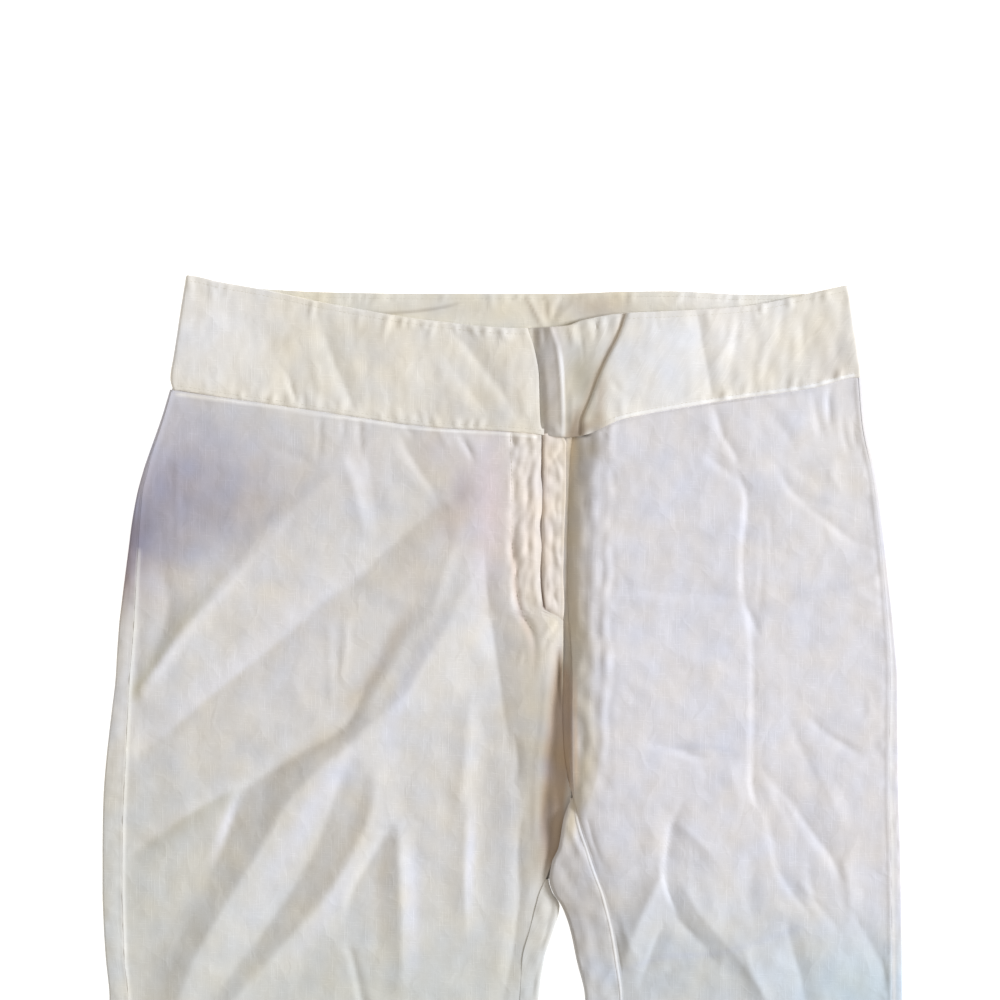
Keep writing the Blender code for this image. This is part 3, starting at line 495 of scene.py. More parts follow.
FACING_FOLDS = (
    (5, 5, 0.8, ((-86, 529, 0), (-70, 527, -0.3), (-46, 530, -0.4), (-26, 533, -0.3), (-14, 536, 0))),
    (4, 3, 0.6, ((14, 540, 0), (17, 535, 0.6), (20, 528, 0.8), (24, 521, 0.4), (25, 518, 0))),
    (3, 3, 0.6, ((24, 540, 0), (25, 534, -0.5), (26, 526, -0.7), (27, 519, 0))),
    (3, 3, 0.6, ((29, 540, 0), (28.5, 535, 0.5), (28, 530, 0.4), (28, 524, 0))),
    (3, 4, 0.6, ((36, 540, 0), (34, 535, -0.6), (31, 528, -0.7), (28, 520, 0))),
    (4, 4, 0.6, ((44, 540, 0), (42, 534, 0.4), (36, 527, 0.5), (31, 520, 0))),
    (6, 6, 0.5, ((-118, 537, 0), (-96, 534, 0.3), (-70, 534, 0.3), (-50, 537, 0))),
)


def course(path):
    """The path's corners with a smooth line through them, as rows of (x, y, height)."""
    corners = np.array(path, dtype=float)
    padded = np.concatenate([corners[:1], corners, corners[-1:]])
    rows = []
    for a, b, c, d in zip(padded[:-3], padded[1:-2], padded[2:-1], padded[3:]):
        for t in np.linspace(0, 1, 5)[:-1]:
            bend, twist = 2 * a - 5 * b + 4 * c - d, 3 * b - a - 3 * c + d
            rows.append(0.5 * (2 * b + (c - a) * t + bend * t**2 + twist * t**3))
    return np.array([*rows, corners[-1]])


def fold_height(x, y, folds):
    """The height that the folds add at each place."""
    total = np.zeros_like(x)
    for right_hand, left_hand, sharpness, path in folds:
        line = course(path)
        reach = max(right_hand, left_hand)
        close = (
            (x > line[:, 0].min() - reach) & (x < line[:, 0].max() + reach)
            & (y > line[:, 1].min() - reach) & (y < line[:, 1].max() + reach)
        )
        px, py = x[close], y[close]
        nearest, side, height = np.full(px.shape, np.inf), np.zeros_like(px), np.zeros_like(px)
        for (ax, ay, az), (bx, by, bz) in zip(line[:-1], line[1:]):
            dx, dy = bx - ax, by - ay
            t = np.clip(((px - ax) * dx + (py - ay) * dy) / max(dx * dx + dy * dy, 1e-9), 0, 1)
            away = np.hypot(px - ax - t * dx, py - ay - t * dy)
            better = away < nearest
            side = np.where(better, dx * (py - ay) - dy * (px - ax), side)
            height = np.where(better, az + t * (bz - az), height)
            nearest = np.minimum(nearest, away)
        share = np.minimum(nearest / np.where(side > 0, left_hand, right_hand), 1)
        rounded = 0.5 * (1 + np.cos(math.pi * share))
        total[close] += height * ((1 - sharpness) * rounded + sharpness * (1 - share) ** 2)
    return total


RELIEF = 1.3  # the legs' folds are this much deeper than their tables say


def crumple(x, y, seed, size, height):
    """Slight unevenness of worn linen: waves of about that size in mixed directions."""
    draw = np.random.default_rng(seed)
    waves, waver_by = 9, 1.2
    total = np.zeros_like(x)
    for _ in range(waves):
        angle, length = draw.uniform(0, math.pi), size * draw.uniform(0.6, 1.6)
        bend = draw.uniform(1.5, 3.5) * size
        phase, other = draw.uniform(0, 2 * math.pi, 2)
        along = x * math.cos(angle) + y * math.sin(angle)
        beside = y * math.cos(angle) - x * math.sin(angle)
        waver = waver_by * np.sin(2 * math.pi * beside / bend + other)
        total += np.sin(2 * math.pi * along / length + phase + waver)
    return height * total / 3


def puckers(x, from_edge, seed, spacing=6.6, reach=13.0, height=1.0):
    """The short wrinkles that a line of stitching draws up beside an edge. from_edge is the way in from
    it."""
    draw = np.random.default_rng(seed)
    total = np.zeros_like(x)
    place = x.min() - spacing
    while place < x.max() + spacing:
        lean, width = draw.uniform(-0.3, 0.3), draw.uniform(1.5, 2.8)
        length, amount = reach * draw.uniform(0.5, 1.4), height * draw.uniform(0.1, 1.2) ** 1.5
        away = (x - place - lean * from_edge) / width
        total += amount * np.exp(-away**2) * (1 - step_up(from_edge, 0.35 * length, length))
        place += spacing * draw.uniform(0.5, 1.7)
    return total * step_up(from_edge, -0.5, 1.5)


def roll(away, width, height):
    """A rounded roll of cloth along a line, by the distance from it."""
    return height * np.exp(-((away / width) ** 2))


# ----------------------------------------
# Shells of cloth from grids of points.

collection = bpy.data.collections.new("linen trousers")
bpy.context.scene.collection.children.link(collection)


def shell(name, patches, wall, shade):
    """A closed wall of cloth. Each patch is rows of (x, y, z) points of its middle surface, and patches
    share their common edges. shade(x, y) gives the cloth's colour there, with its painted light and shade."""
    mesh = bpy.data.meshes.new(name)
    points, faces, weave, count = [], [], [], 0
    for patch in patches:
        grid = np.asarray(patch, dtype=float)
        rows, columns = grid.shape[:2]
        steps = np.linalg.norm(np.diff(grid[..., [0, 2]], axis=1), axis=2)
        run = np.concatenate([np.zeros((rows, 1)), np.cumsum(steps, axis=1)], axis=1)
        middle = columns // 2
        run += grid[:, [middle], 0] - run[:, [middle]]
        index = count + np.arange(rows * columns).reshape(rows, columns)
        points.append(grid.reshape(-1, 3))
        weave.append(np.stack([run, grid[..., 1], np.zeros_like(run)], axis=-1).reshape(-1, 3))
        corners = [index[:-1, :-1], index[:-1, 1:], index[1:, 1:], index[1:, :-1]]
        faces.append(np.stack(corners, axis=-1).reshape(-1, 4))
        count += rows * columns
    points, weave = np.concatenate(points), np.concatenate(weave)
    mesh.from_pydata((points * MM).tolist(), [], np.concatenate(faces).tolist())
    mesh.attributes.new("weave", "FLOAT_VECTOR", "POINT").data.foreach_set("vector", weave.ravel())
    colours = np.concatenate([shade(points[:, 0], points[:, 1]), np.ones((count, 1))], axis=1)
    mesh.attributes.new("shade", "FLOAT_COLOR", "POINT").data.foreach_set("color", colours.ravel())
    work = bmesh.new()
    work.from_mesh(mesh)
    if len(patches) > 1:
        bmesh.ops.remove_doubles(work, verts=work.verts, dist=0.01 * MM)
    bmesh.ops.recalc_face_normals(work, faces=work.faces)
    work.to_mesh(mesh)
    work.free()
    piece = bpy.data.objects.new(name, mesh)
    collection.objects.link(piece)
    thickness = piece.modifiers.new("wall", "SOLIDIFY")
    thickness.thickness = wall * MM
    thickness.offset = 0.0
    return resting(settle(piece))


def resting(piece):
    """Keeps the piece's underside on the table, and no lower."""
    places = np.empty(3 * len(piece.data.vertices))
    piece.data.vertices.foreach_get("co", places)
    places[2::3] = np.maximum(places[2::3], 0)
    piece.data.vertices.foreach_set("co", places)
    piece.data.update()
    return piece


def settle(piece):
    """Applies the piece's modifiers, and shades it smooth apart from its sharp edges."""
    evaluated = piece.evaluated_get(bpy.context.evaluated_depsgraph_get())
    mesh = bpy.data.meshes.new_from_object(evaluated)
    piece.modifiers.clear()
    piece.data = mesh
    mesh.shade_smooth()
    mesh.set_sharp_from_angle(angle=math.radians(50))
    return piece


def spread(first, last, spacing):
    """Places from first to last, at most that far apart."""
    return np.linspace(first, last, max(2, math.ceil(abs(last - first) / spacing) + 1))


FINE = 1.8  # spacing of the rows where the creases are fine
COARSE = 8.0
TOP_ROW = 436.0
ROWS_DOWN = np.concatenate([
    spread(TOP_ROW, CROTCH + 0.3, FINE), spread(CROTCH, 104, FINE)[:-1], spread(104, 60, 3.5)[:-1],
    spread(60, HEM + 34, COARSE)[:-1], spread(HEM + 34, HEM + 26, 2.0)[:-1], spread(HEM + 26, HEM, 5.0),
])


def leg_heights(columns, x_at, seam, tuck):
    """The y of every point of a leg, as rows down it. x_at(y) gives the points' x, and seam names the
    waist seam, which the top row reaches past by tuck. The upper rows follow the seam."""
    share = spread(1, 0, FINE / 44)[:-1, None]
    upper = np.full((len(share), columns), TOP_ROW)
    for _ in range(3):
        upper = TOP_ROW + share * (across(seam, x_at(upper)) + tuck - TOP_ROW)
    return np.concatenate([upper, np.tile(ROWS_DOWN[:, None], columns)])


def cat(*parts):
    """Single values and rows of them, one after another."""
    return np.concatenate([np.atleast_1d(p) for p in parts])


def right_band_height(x, end):
    """How high the right front waistband's middle surface lies. It swells towards its lapping end."""
    swell, starts, full = 1.9, end - 40, end - 14
    return Z_BAND + swell * step_up(x, starts, full)


def left_band_height(x, fold):
    """How high the left front waistband's middle surface lies beyond its centre fold."""
    swell, starts, gone = 4.8, fold + 4, fold + 92
    return Z_BAND + swell * (1 - step_up(x, starts, gone))


def tucked(x, y, z, under):
    """Heights with the top of a leg brought down under the waistband, whose height there is under."""
    to_seam = across("front_seam", x) - y
    brought_down = 1 - step_up(to_seam, -0.4, 2.4)
    return z + (under - UNDER_BAND - z) * brought_down + roll(to_seam - 2.6, width=1.0, height=0.3)


def hem_fold(y):
    """The extra height of the turned-up hem, with the dip of its stitching."""
    ply, ends = 0.35, HEM + HEM_DEPTH
    raised = ply * (1 - step_up(y, ends, ends + 3))
    return raised - roll(y - HEM - HEM_STITCHES, width=1.6, height=0.25)


def leg_relief(x, y, folds, seed):
    """The height of a leg's folds, with slight unevenness in two sizes."""
    large, small = crumple(x, y, seed, size=34, height=0.18), crumple(x, y, seed + 1, size=12, height=0.06)
    return RELIEF * fold_height(x, y, folds) + large + small


def stretches(start, *parts):
    """Places from start on, in even stretches, each given as (its end, its steps)."""
    rows = []
    for end, steps in parts:
        rows.append(np.linspace(start, end, steps + 1)[:-1])
        start = end
    return cat(*rows, start)


def make_front_right():
    """The right front leg, with the lap of the fly."""
    share = stretches(0, (0.03, 6), (0.8, 103), (1, 41))

    def x_at(y):
        side, inner = RIGHT("side_seam", y) + GAP, RIGHT("inner", y) - GAP
        return side + share * (inner - side)

    y = leg_heights(len(share), x_at, "front_seam", UNDER_SEAM)
    x = x_at(y)
    side, inner = x[:, :1], x[:, -1:]
    level, foot, fall_from, fall_to = (RIGHT(name, y) for name in ("level", "foot", "fall_from", "fall_to"))
    crest_starts, crest_full = fall_from - 38, fall_from - 4
    z = Z_FRONT + (level - Z_FRONT) * step_up(x, crest_starts, crest_full)
    z -= (level - foot) * step_up(x, fall_from, fall_to)
    puff_height, puff_full = 1.9, side + 38
    puff_ends, puff_gone = fall_from - 60, fall_from - 20
    puff = puff_height * step_up(x, side, puff_full) * (1 - step_up(x, puff_ends, puff_gone))
    z += puff * step_up(y, HEM, HEM + FLATTER_HEM)
    folds = leg_relief(x, y, RIGHT_FOLDS, 3)
    at_fly = step_up(x, 2, 6) * step_up(y, 340, 352) * (1 - step_up(x, LAP_END - 1.5, LAP_END))
    folds += crumple(x, 0.75 * y, seed=72, size=8, height=0.3) * at_fly
    folds += puckers(y, x - side, seed=74, spacing=12, reach=13, height=0.35)
    flat_by_seam, full_from_seam = 1.5, 9
    z += folds * step_up(x - side, flat_by_seam, full_from_seam)
    z += roll(x - side - 0.3, width=1.2, height=0.3)
    edge_drop, edge_width = 0.2, 0.6  # the lap thins to its edge beside the slit
    z -= edge_drop * step_up(x, inner - edge_width, inner) * step_up(y, SLIT_END - 1, SLIT_END + 4)
    z = np.maximum(z, Z_BACK + OVER_BACK)
    z = tucked(x, y, z, right_band_height(x, LAP_END)) + hem_fold(y)
    return shell("front_right_cloth", [np.stack([x, y, z], axis=-1)], LINEN, shade_right)


def above_tip(y):
    """A soft step at the height where the inseam leaves the centre fold."""
    return step_up(y, FOLD_TIP + 1, FOLD_TIP + 9)


def make_front_left():
    """The left front leg, with the centre fold: the cloth under it, its wall, its rise to the crest, and the
    panel over it to the side seam."""
    t_start, t_wall, t_rise = (np.linspace(0, 1, steps + 1)[:-1] for steps in (5, 6, 9))
    share = stretches(0, (0.16, 27), (0.965, 83), (1, 6))
    ends = np.cumsum([len(part) for part in (t_start, t_wall, t_rise, share)])
    under, wall, rise, over = (slice(b - n, b) for b, n in zip(ends, np.diff([0, *ends])))
    n = ends[-1]

    def x_at(y):
        x = np.empty_like(y)
        start, foot, lip, crest = (table(name, y) for table, name in (
            (LEFT, "start"), (FOLD, "foot"), (FOLD, "lip"), (FOLD, "crest")))
        side = LEFT("side_seam", y) - GAP
        lap = 1.4
        first = start + GAP - lap * above_tip(y)
        x[:, under] = (first + t_start_all * (foot - first))[:, under]
        x[:, wall] = (foot + step_up(t_wall_all, 0, 1) * (lip - foot))[:, wall]
        x[:, rise] = (lip + t_rise_all * (crest - lip))[:, rise]
        x[:, over] = (crest + share_all * (side - crest))[:, over]
        return x

    def padded(part, values):
        row = np.zeros(n)
        row[part] = values
        return row

    t_start_all, t_wall_all = padded(under, t_start), padded(wall, t_wall)
    t_rise_all, share_all = padded(rise, t_rise), padded(over, share)
    y = leg_heights(n, x_at, "front_seam", UNDER_SEAM)
    x = x_at(y)
    names = ("start_z", "foot_z", "lip_z", "crest", "crest_z")
    start_z, foot_z, lip_z, crest, crest_z = (FOLD(name, y) for name in names)
    z = np.empty_like(y)
    lap_drop, roundness, slope_starts, slope_ends = 0.6, 2.1, crest + 0.5, crest + 148
    lapped = lap_drop * above_tip(y) * (1 - step_up(t_start_all, 0, 0.5))
    z[:, under] = (start_z - lapped + t_start_all * (foot_z - start_z))[:, under]
    z[:, wall] = (foot_z + t_wall_all * (lip_z - foot_z))[:, wall]
    z[:, rise] = (lip_z + (1 - (1 - t_rise_all) ** roundness) * (crest_z - lip_z))[:, rise]
    side = x[:, -1:]
    z[:, over] = (Z_FRONT + (crest_z - Z_FRONT) * (1 - step_up(x, slope_starts, slope_ends)))[:, over]
    puff_height, puff_starts, puff_full, puff_ends = 1.2, crest + 40, crest + 90, side - 42
    puff = puff_height * step_up(x, puff_starts, puff_full) * (1 - step_up(x, puff_ends, side))
    z += puff * step_up(y, HEM, HEM + FLATTER_HEM)
    folds = leg_relief(x, y, LEFT_FOLDS, 7)
    fly_foot = 226  # the crumpling beside the fly begins here, and the inseam's roll begins to fade
    by_fly = crumple(x, 0.7 * y, seed=73, size=13, height=0.42) * (1 - step_up(x, 58, 72))
    folds += by_fly * step_up(y, fly_foot, 250)
    folds += puckers(y, side - x, seed=75, spacing=10, reach=14, height=0.5)
    past_wall = step_up(np.arange(n), 10, 15)
    flat_by_seam, full_from_seam = 1.0, 6
    z += folds * past_wall * step_up(side - x, flat_by_seam, full_from_seam)
    z += roll(side - x - 0.9, width=1.2, height=0.4)
    from_start = x - LEFT("start", y)
    seam_roll = roll(from_start - 0.4, width=1.0, height=0.5)
    z += np.where(y < FOLD_TIP, seam_roll * (1 - step_up(y, fly_foot, FOLD_TIP)), 0)
    z[:, rise.start:] = np.maximum(z[:, rise.start:], Z_BACK + OVER_BACK)
    band_fold, band_begins, hollow_floor = 46, 50, 3.4
    in_hollow = np.minimum(z, hollow_floor) + UNDER_BAND
    z = tucked(x, y, z, np.where(x > band_begins, left_band_height(x, band_fold), in_hollow)) + hem_fold(y)
    return shell("front_left_cloth", [np.stack([x, y, z], axis=-1)], LINEN, shade_left)


def turned(edge, inwards, low, high, reach, wall):
    """(x, z) round a turned edge, from low to high. Inwards is +1 where the cloth lies at larger x."""
    angles = np.linspace(-math.pi / 2, math.pi / 2, TURN_STEPS + 1)
    middle, half = 0.5 * (low + high), 0.5 * (high - low)
    start = edge + inwards * 0.5 * wall
    x = start + inwards * reach * (1 - np.cos(angles))
    return x, np.broadcast_to(middle + half * np.sin(angles), x.shape)


STRIP_FOLDS = (
    (3, 4, 0.7, ((26, 172, 0), (27, 160, -0.6), (25, 148, -0.7), (23, 136, -0.4), (20, 124, 0))),
    (4, 4, 0.6, ((40, 178, 0), (46, 165, 0.6), (50, 150, 0.8), (52, 136, 0.7), (54, 120, 0))),
    (4, 5, 0.7, ((52, 172, 0), (54, 158, -0.6), (57, 146, -0.7), (60, 130, 0))),
    (4, 6, 0.7, ((38, 222, 0), (42, 214, 0.9), (47, 203, 1.0), (52, 193, 0))),
    (3, 4, 0.7, ((44, 226, 0), (45, 215, -0.6), (49, 206, -0.6), (52, 200, 0))),
    (3, 5, 0.7, ((33, 200, 0), (37, 192, -0.6), (42, 184, -0.7), (46, 174, 0))),
    (4, 4, 0.6, ((31, 190, 0), (36, 182, 0.5), (42, 176, 0.5), (47, 166, 0))),
)


def inner_strip(x, z, seam, y):
    """The points of a leg's turned inner edge, continued to the inseam: rows for each y."""
    share = np.linspace(0, 1, 11)[1:]
    strip = x[:, -1:] + share * (seam - x[:, -1:])
    to_seam, ys = np.abs(seam - strip), np.tile(y, len(share))
    wrinkles = crumple(strip, ys, seed=21, size=15, height=0.32) * step_up(to_seam, 0, 3)
    wrinkles += 0.9 * fold_height(strip, ys, STRIP_FOLDS) * step_up(to_seam, 0, 2)
    bulge = 0.3
    strip_z = z[:, -1:] + bulge * np.sin(0.5 * math.pi * share) + wrinkles
    every_x, every_z = np.concatenate([x, strip], axis=1), np.concatenate([z, strip_z], axis=1)
    return np.stack([every_x, np.tile(y, every_x.shape[1]), every_z], axis=-1)


def inner_turn(table, side, seam_table, seam_name, height, y):
    """The turned inner edge of a leg and the strip from it to the inseam, below the crotch."""
    edge, seam = table("inner_edge", y), seam_table(seam_name, y) + side * GAP
    widest = 2.4
    reach = np.minimum(widest, 0.6 * (np.abs(edge - seam) - 0.5 * LINEN))
    x, z = turned(edge, -side, Z_BACK, height(y), reach, LINEN)
    return inner_strip(x, z, seam, y)


def make_back(name, table, side, seam_name, height, shade, seed):
    """A back leg. side is the way inwards from its side edge, +1 or -1 along X."""
    flat_share = np.linspace(0, 1, 34)[:-1]
    strip_share = np.linspace(0, 1, 8)[1:]
    strip_level = Z_FRONT - 0.1

    def parts(y):
        y = y[:, :1]
        edge, seam = table("edge", y), table("side_seam", y) - side * GAP
        turn_x, turn_z = turned(edge, side, Z_BACK, strip_level, 0.5 * (Z_FRONT - Z_BACK), LINEN)
        strip = turn_x[:, -1:] + strip_share * (seam - turn_x[:, -1:])
        inner = inner_turn(table, side, table, seam_name, height, y)[:, :1, 0]
        seat_seam = CENTRE_BACK - side * GAP + (BACK_LAP if side > 0 else 0)
        start = np.where(y > CROTCH + 0.2, seat_seam, inner)
        flat = start + flat_share * (turn_x[:, :1] - start)
        return flat, turn_x, strip, turn_z, seam

    columns = len(flat_share) + TURN_STEPS + 1 + len(strip_share)
    y = leg_heights(columns, lambda y: np.concatenate(parts(y)[:3], axis=1), "back_seam", -GAP)
    flat, turn_x, strip, turn_z, seam = parts(y)
    ys = y[:, : len(flat_share)]
    lift = fold_height(flat, ys, BACK_FOLDS) * step_up(np.abs(flat - flat[:, :1]), 2, 20)
    lift *= step_up(np.abs(flat - turn_x[:, :1]), 2, 20) * step_up(across("back_seam", flat) - ys, 4, 30)
    highest = 0.7  # the hidden folds keep clear of the front
    flat_z = Z_BACK + np.clip(lift, 0, highest) * step_up(ys, HEM + 10, HEM + 60)
    if side > 0:  # its seam allowance laps the other back's
        lap_rise = 0.75
        flat_z += lap_rise * (1 - step_up(CENTRE_BACK - flat, -1, 2.5)) * (ys > CROTCH + 0.2)
    to_seam, wide = np.abs(seam - strip), step_up(np.abs(seam - turn_x[:, -1:]), 2, 6)
    dimples = crumple(strip * 0.7, y[:, -len(strip_share):], seed, size=12, height=0.16) * wide
    bulge = 0.35
    strip_z = strip_level + bulge * np.sin(math.pi * strip_share) * wide + dimples
    strip_z += roll(to_seam, width=1.0, height=0.35)
    x, z = np.concatenate([flat, turn_x, strip], axis=1), np.concatenate([flat_z, turn_z, strip_z], axis=1)
    upper_ply = 1.2  # cloth above this height is on the front
    body = np.stack([x, y, z + hem_fold(y) * (z > upper_ply)], axis=-1)
    inner = inner_turn(table, side, table, seam_name, height, ROWS_DOWN[ROWS_DOWN < CROTCH + 0.1][:, None])
    inner[:, 1:, 2] += (hem_fold(inner[..., 1]) * (inner[..., 2] > upper_ply))[:, 1:]
    patches = [body, inner]
    if side < 0:
        patches.append(fold_tongue(inner[:1]))
    return shell(name, patches, LINEN, shade)


def fold_tongue(lowest):
    """The point of the left back leg that lies over the crotch, up to where the inseam leaves the centre
    fold."""
    y = ROWS_DOWN[(ROWS_DOWN > CROTCH + 0.1) & (ROWS_DOWN < FOLD_TIP - 1)][::-1, None]
    edge, seam, top = LEFT("inner_edge", y), LEFT("start", y) - GAP, FOLD("start_z", y)
    middle, widest, upper_half = 4.4, 2.2, TURN_STEPS // 2
    x, z = turned(edge, 1, 2 * middle - top, top, np.minimum(widest, 0.4 * (seam - edge)), LINEN)
    tongue = inner_strip(x[:, upper_half:], z[:, upper_half:], seam, y)
    return np.concatenate([lowest[:, upper_half:], tongue])


# Round a turned edge of the waistband: how far in from the edge and how much higher each row lies.
EDGE_TURN = ((-0.18, -0.28), (0.0, -0.62), (3.5, -0.8))
# Where the waistband's edge puckers are weaker: from, to, and the share that is left.
SMOOTHER_STRETCHES = ((74, 118, 0.25), (-186, -158, 0.5))
# Down the wall of the waistband's centre fold: how far beyond the fold's line, and how high.
BAND_FOLD_WALL = ((1.6, 8.1), (0.9, 7.9), (0.4, 7.5), (0.1, 7.0), (0.1, 6.5), (0.3, 6.1))


def band_grid(columns_at, top_line, low, high, z_of):
    """Rows up a waistband ply, with its lower and upper edges turned under."""
    levels = stretches(0, (0.2, 11), (0.78, 21), (1, 12))
    x, base, front = (np.array(values) for values in zip(*(columns_at(share) for share in levels)))
    bottom = np.where(front, across("front_seam", x), across("back_seam", x)) + low
    top = np.where(front, across(top_line, x), across("back_top", x)) - high
    y = bottom + levels[:, None] * (top - bottom)
    return with_turned_edges(np.stack([x, y, z_of(x, y, base, y - bottom, top - y, front)], axis=-1))


def with_turned_edges(grid):
    """The grid with a turned edge along its first and its last row."""
    out = [grid]
    for row, inwards in ((grid[0], 1), (grid[-1], -1)):
        extra = []
        for dy, dz in EDGE_TURN:
            moved = row.copy()
            moved[:, 1] += inwards * dy
            moved[:, 2] = np.maximum(moved[:, 2] + dz, Z_BACK)
            extra.append(moved)
        out = [np.array(extra[::-1]), *out] if inwards > 0 else [*out, np.array(extra)]
    return np.concatenate(out)


def band_side(edge, inwards):
    """The waistband's turned side fold with the strip that reaches under: x, z and whether it is the
    front."""
    under = Z_BACK + 0.1
    x, z = turned(edge, inwards, under, Z_BAND, 0.5 * (Z_BAND - Z_BACK), BAND)
    return cat(edge + inwards * TURN_UNDER, x), cat(under, z), cat(False, np.full(len(x), True))


def band_surface(seeds, folds):
    """z_of for a front waistband: edge puckers above and below, listed dents and slight unevenness."""

    def z_of(x, y, base, from_bottom, from_top, front):
        lumps = puckers(x, from_top, seeds[0]) + puckers(x, from_bottom, seeds[1], height=0.8, reach=10)
        for first, last, share in SMOOTHER_STRETCHES:
            lumps *= np.where((x > first) & (x < last), share, 1.0)
        lumps += fold_height(x, y, folds) + crumple(x, y, seeds[2], size=26, height=0.14)
        rougher = 1 + 1.4 * step_up(x, 122, 145)  # towards the wearer's left side
        lumps += crumple(x, 0.5 * y, seeds[2] + 1, size=9, height=0.07) * rougher
        ditch = roll(from_top - 3.0, width=0.9, height=0.22) + roll(from_bottom - 2.2, width=0.7, height=0.16)
        ditch = ditch - roll(from_bottom - 0.9, width=0.6, height=0.12)
        return base + np.where(front, lumps - ditch, 0)

    return z_of


def make_waistband_front_right():
    """The right front waistband, with its lapping end."""
    share_along = stretches(0, (0.9, 127), (1, 21))[1:]
    edge_drop, edge_width = 0.3, 0.5

    def columns_at(share):
        side_x, side_z, front = band_side(float(BAND_LINES("right_edge", share)), 1)
        start, end = side_x[-1], float(BAND_LINES("lap_end", share))
        x = start + share_along * (end - start)
        z = right_band_height(x, end) - edge_drop * step_up(x, end - edge_width, end)
        return cat(side_x, x), cat(side_z, z), cat(front, np.full(len(x), True)).astype(bool)

    grid = band_grid(columns_at, "front_top", GAP, 0.0, band_surface((11, 12, 13), BAND_RIGHT_FOLDS))
    return shell("waistband_front_right_cloth", [grid], BAND, shade_band)


def make_waistband_front_left():
    """The left front waistband, with its underlap tab: over the side, down the centre fold's wall, through
    the hollow to the tab's crest, down to the floor beside it and on under the lap."""
    share_along = stretches(1, (0.12, 103), (0, 15))
    wall_out, wall_z = np.array(BAND_FOLD_WALL).T
    crest_z, hollow_z, sag, tab_end = (6.9, 7.1, 6.8), (6.2, 6.3), 0.5, 6.0
    across_hollow, down = 26, 6  # how many columns lie in the hollow, and in each of the two falls

    def columns_at(share):
        side_x, side_z, front = band_side(float(BAND_LINES("left_edge", share)), -1)
        names = ("floor", "crest", "fold", "lap_end")
        floor, crest, fold, lap = (float(BAND_LINES(name, share)) for name in names)
        start = fold + 2.4
        x = start + share_along[1:] * (side_x[-1] - start)
        z = left_band_height(x, fold)
        tab_x = cat(
            fold - 0.5, fold - 1.4, np.linspace(fold - 2.6, crest + 2.0, across_hollow),
            (crest + 1.0, crest, crest - 0.8), np.linspace(crest - 1.8, floor, down),
            np.linspace(floor - 1.0, lap - 0.8, down), (lap - 3, lap - 8, tab_end))
        sagging = sag * np.sin(math.pi * np.linspace(0, 1, across_hollow))
        hollow = np.linspace(*hollow_z, across_hollow) - sagging
        tab_z = cat(
            5.8, 6.0, hollow, crest_z, np.linspace(6.3, 4.8, down),
            np.linspace(4.4, 2.1, down), (1.9, 1.8, 1.8))
        every_x, every_z = cat(side_x, x, fold + wall_out, tab_x), cat(side_z, z, wall_z, tab_z)
        return every_x, every_z, cat(front, np.full(len(every_x) - len(front), True)).astype(bool)

    grid = band_grid(columns_at, "front_top", GAP, 0.0, band_surface((14, 15, 16), BAND_LEFT_FOLDS))
    return shell("waistband_front_left_cloth", [grid], BAND, shade_band)


def back_band_rows(z, low, high, levels, count, relief):
    """Rows of count points up a ply of the back waistband. relief(x, y, top) gives its extra height."""
    inset = TURN_UNDER + 0.3  # it starts where the front waistband's turned side ends
    rows = []
    for share in levels:
        start = float(BAND_LINES("right_edge", share)) + inset
        end = float(BAND_LINES("left_edge", share)) - inset
        x = np.linspace(start, end, count)
        bottom, top = across("back_seam", x) + low, across("back_top", x) - high
        y = bottom + share * (top - bottom)
        rows.append(np.stack([x, y, np.full_like(x, z) + relief(x, y, top)], axis=-1))
    return np.array(rows)


def facing_relief(x, y, top):
    """The puckers, dents and unevenness of the facing, which fade out where the front hides it."""
    lumps = puckers(x, top - y, seed=31, spacing=6.0, reach=9, height=0.6) + fold_height(x, y, FACING_FOLDS)
    lumps += crumple(x, y, seed=32, size=22, height=0.12) - roll(top - y - 3.0, width=0.8, height=0.2)
    return np.clip(lumps, -0.5, 1.2) * step_up(y, 500, 516)


def make_back_waistband():
    """Both plies of the back waistband: the plain outer one, and the facing that shows inside."""
    outer = back_band_rows(Z_BACK, GAP, 0.2, spread(0, 1, 0.1), 60, lambda x, y, top: 0)
    facing = back_band_rows(Z_FACING, 1.5, 0.5, stretches(0, (0.6, 7), (1, 23)), 260, facing_relief)
    return (shell("waistband_back_cloth", [outer], LINEN, shade_band),
            shell("waistband_back_facing_cloth", [facing], LINEN, shade_facing))


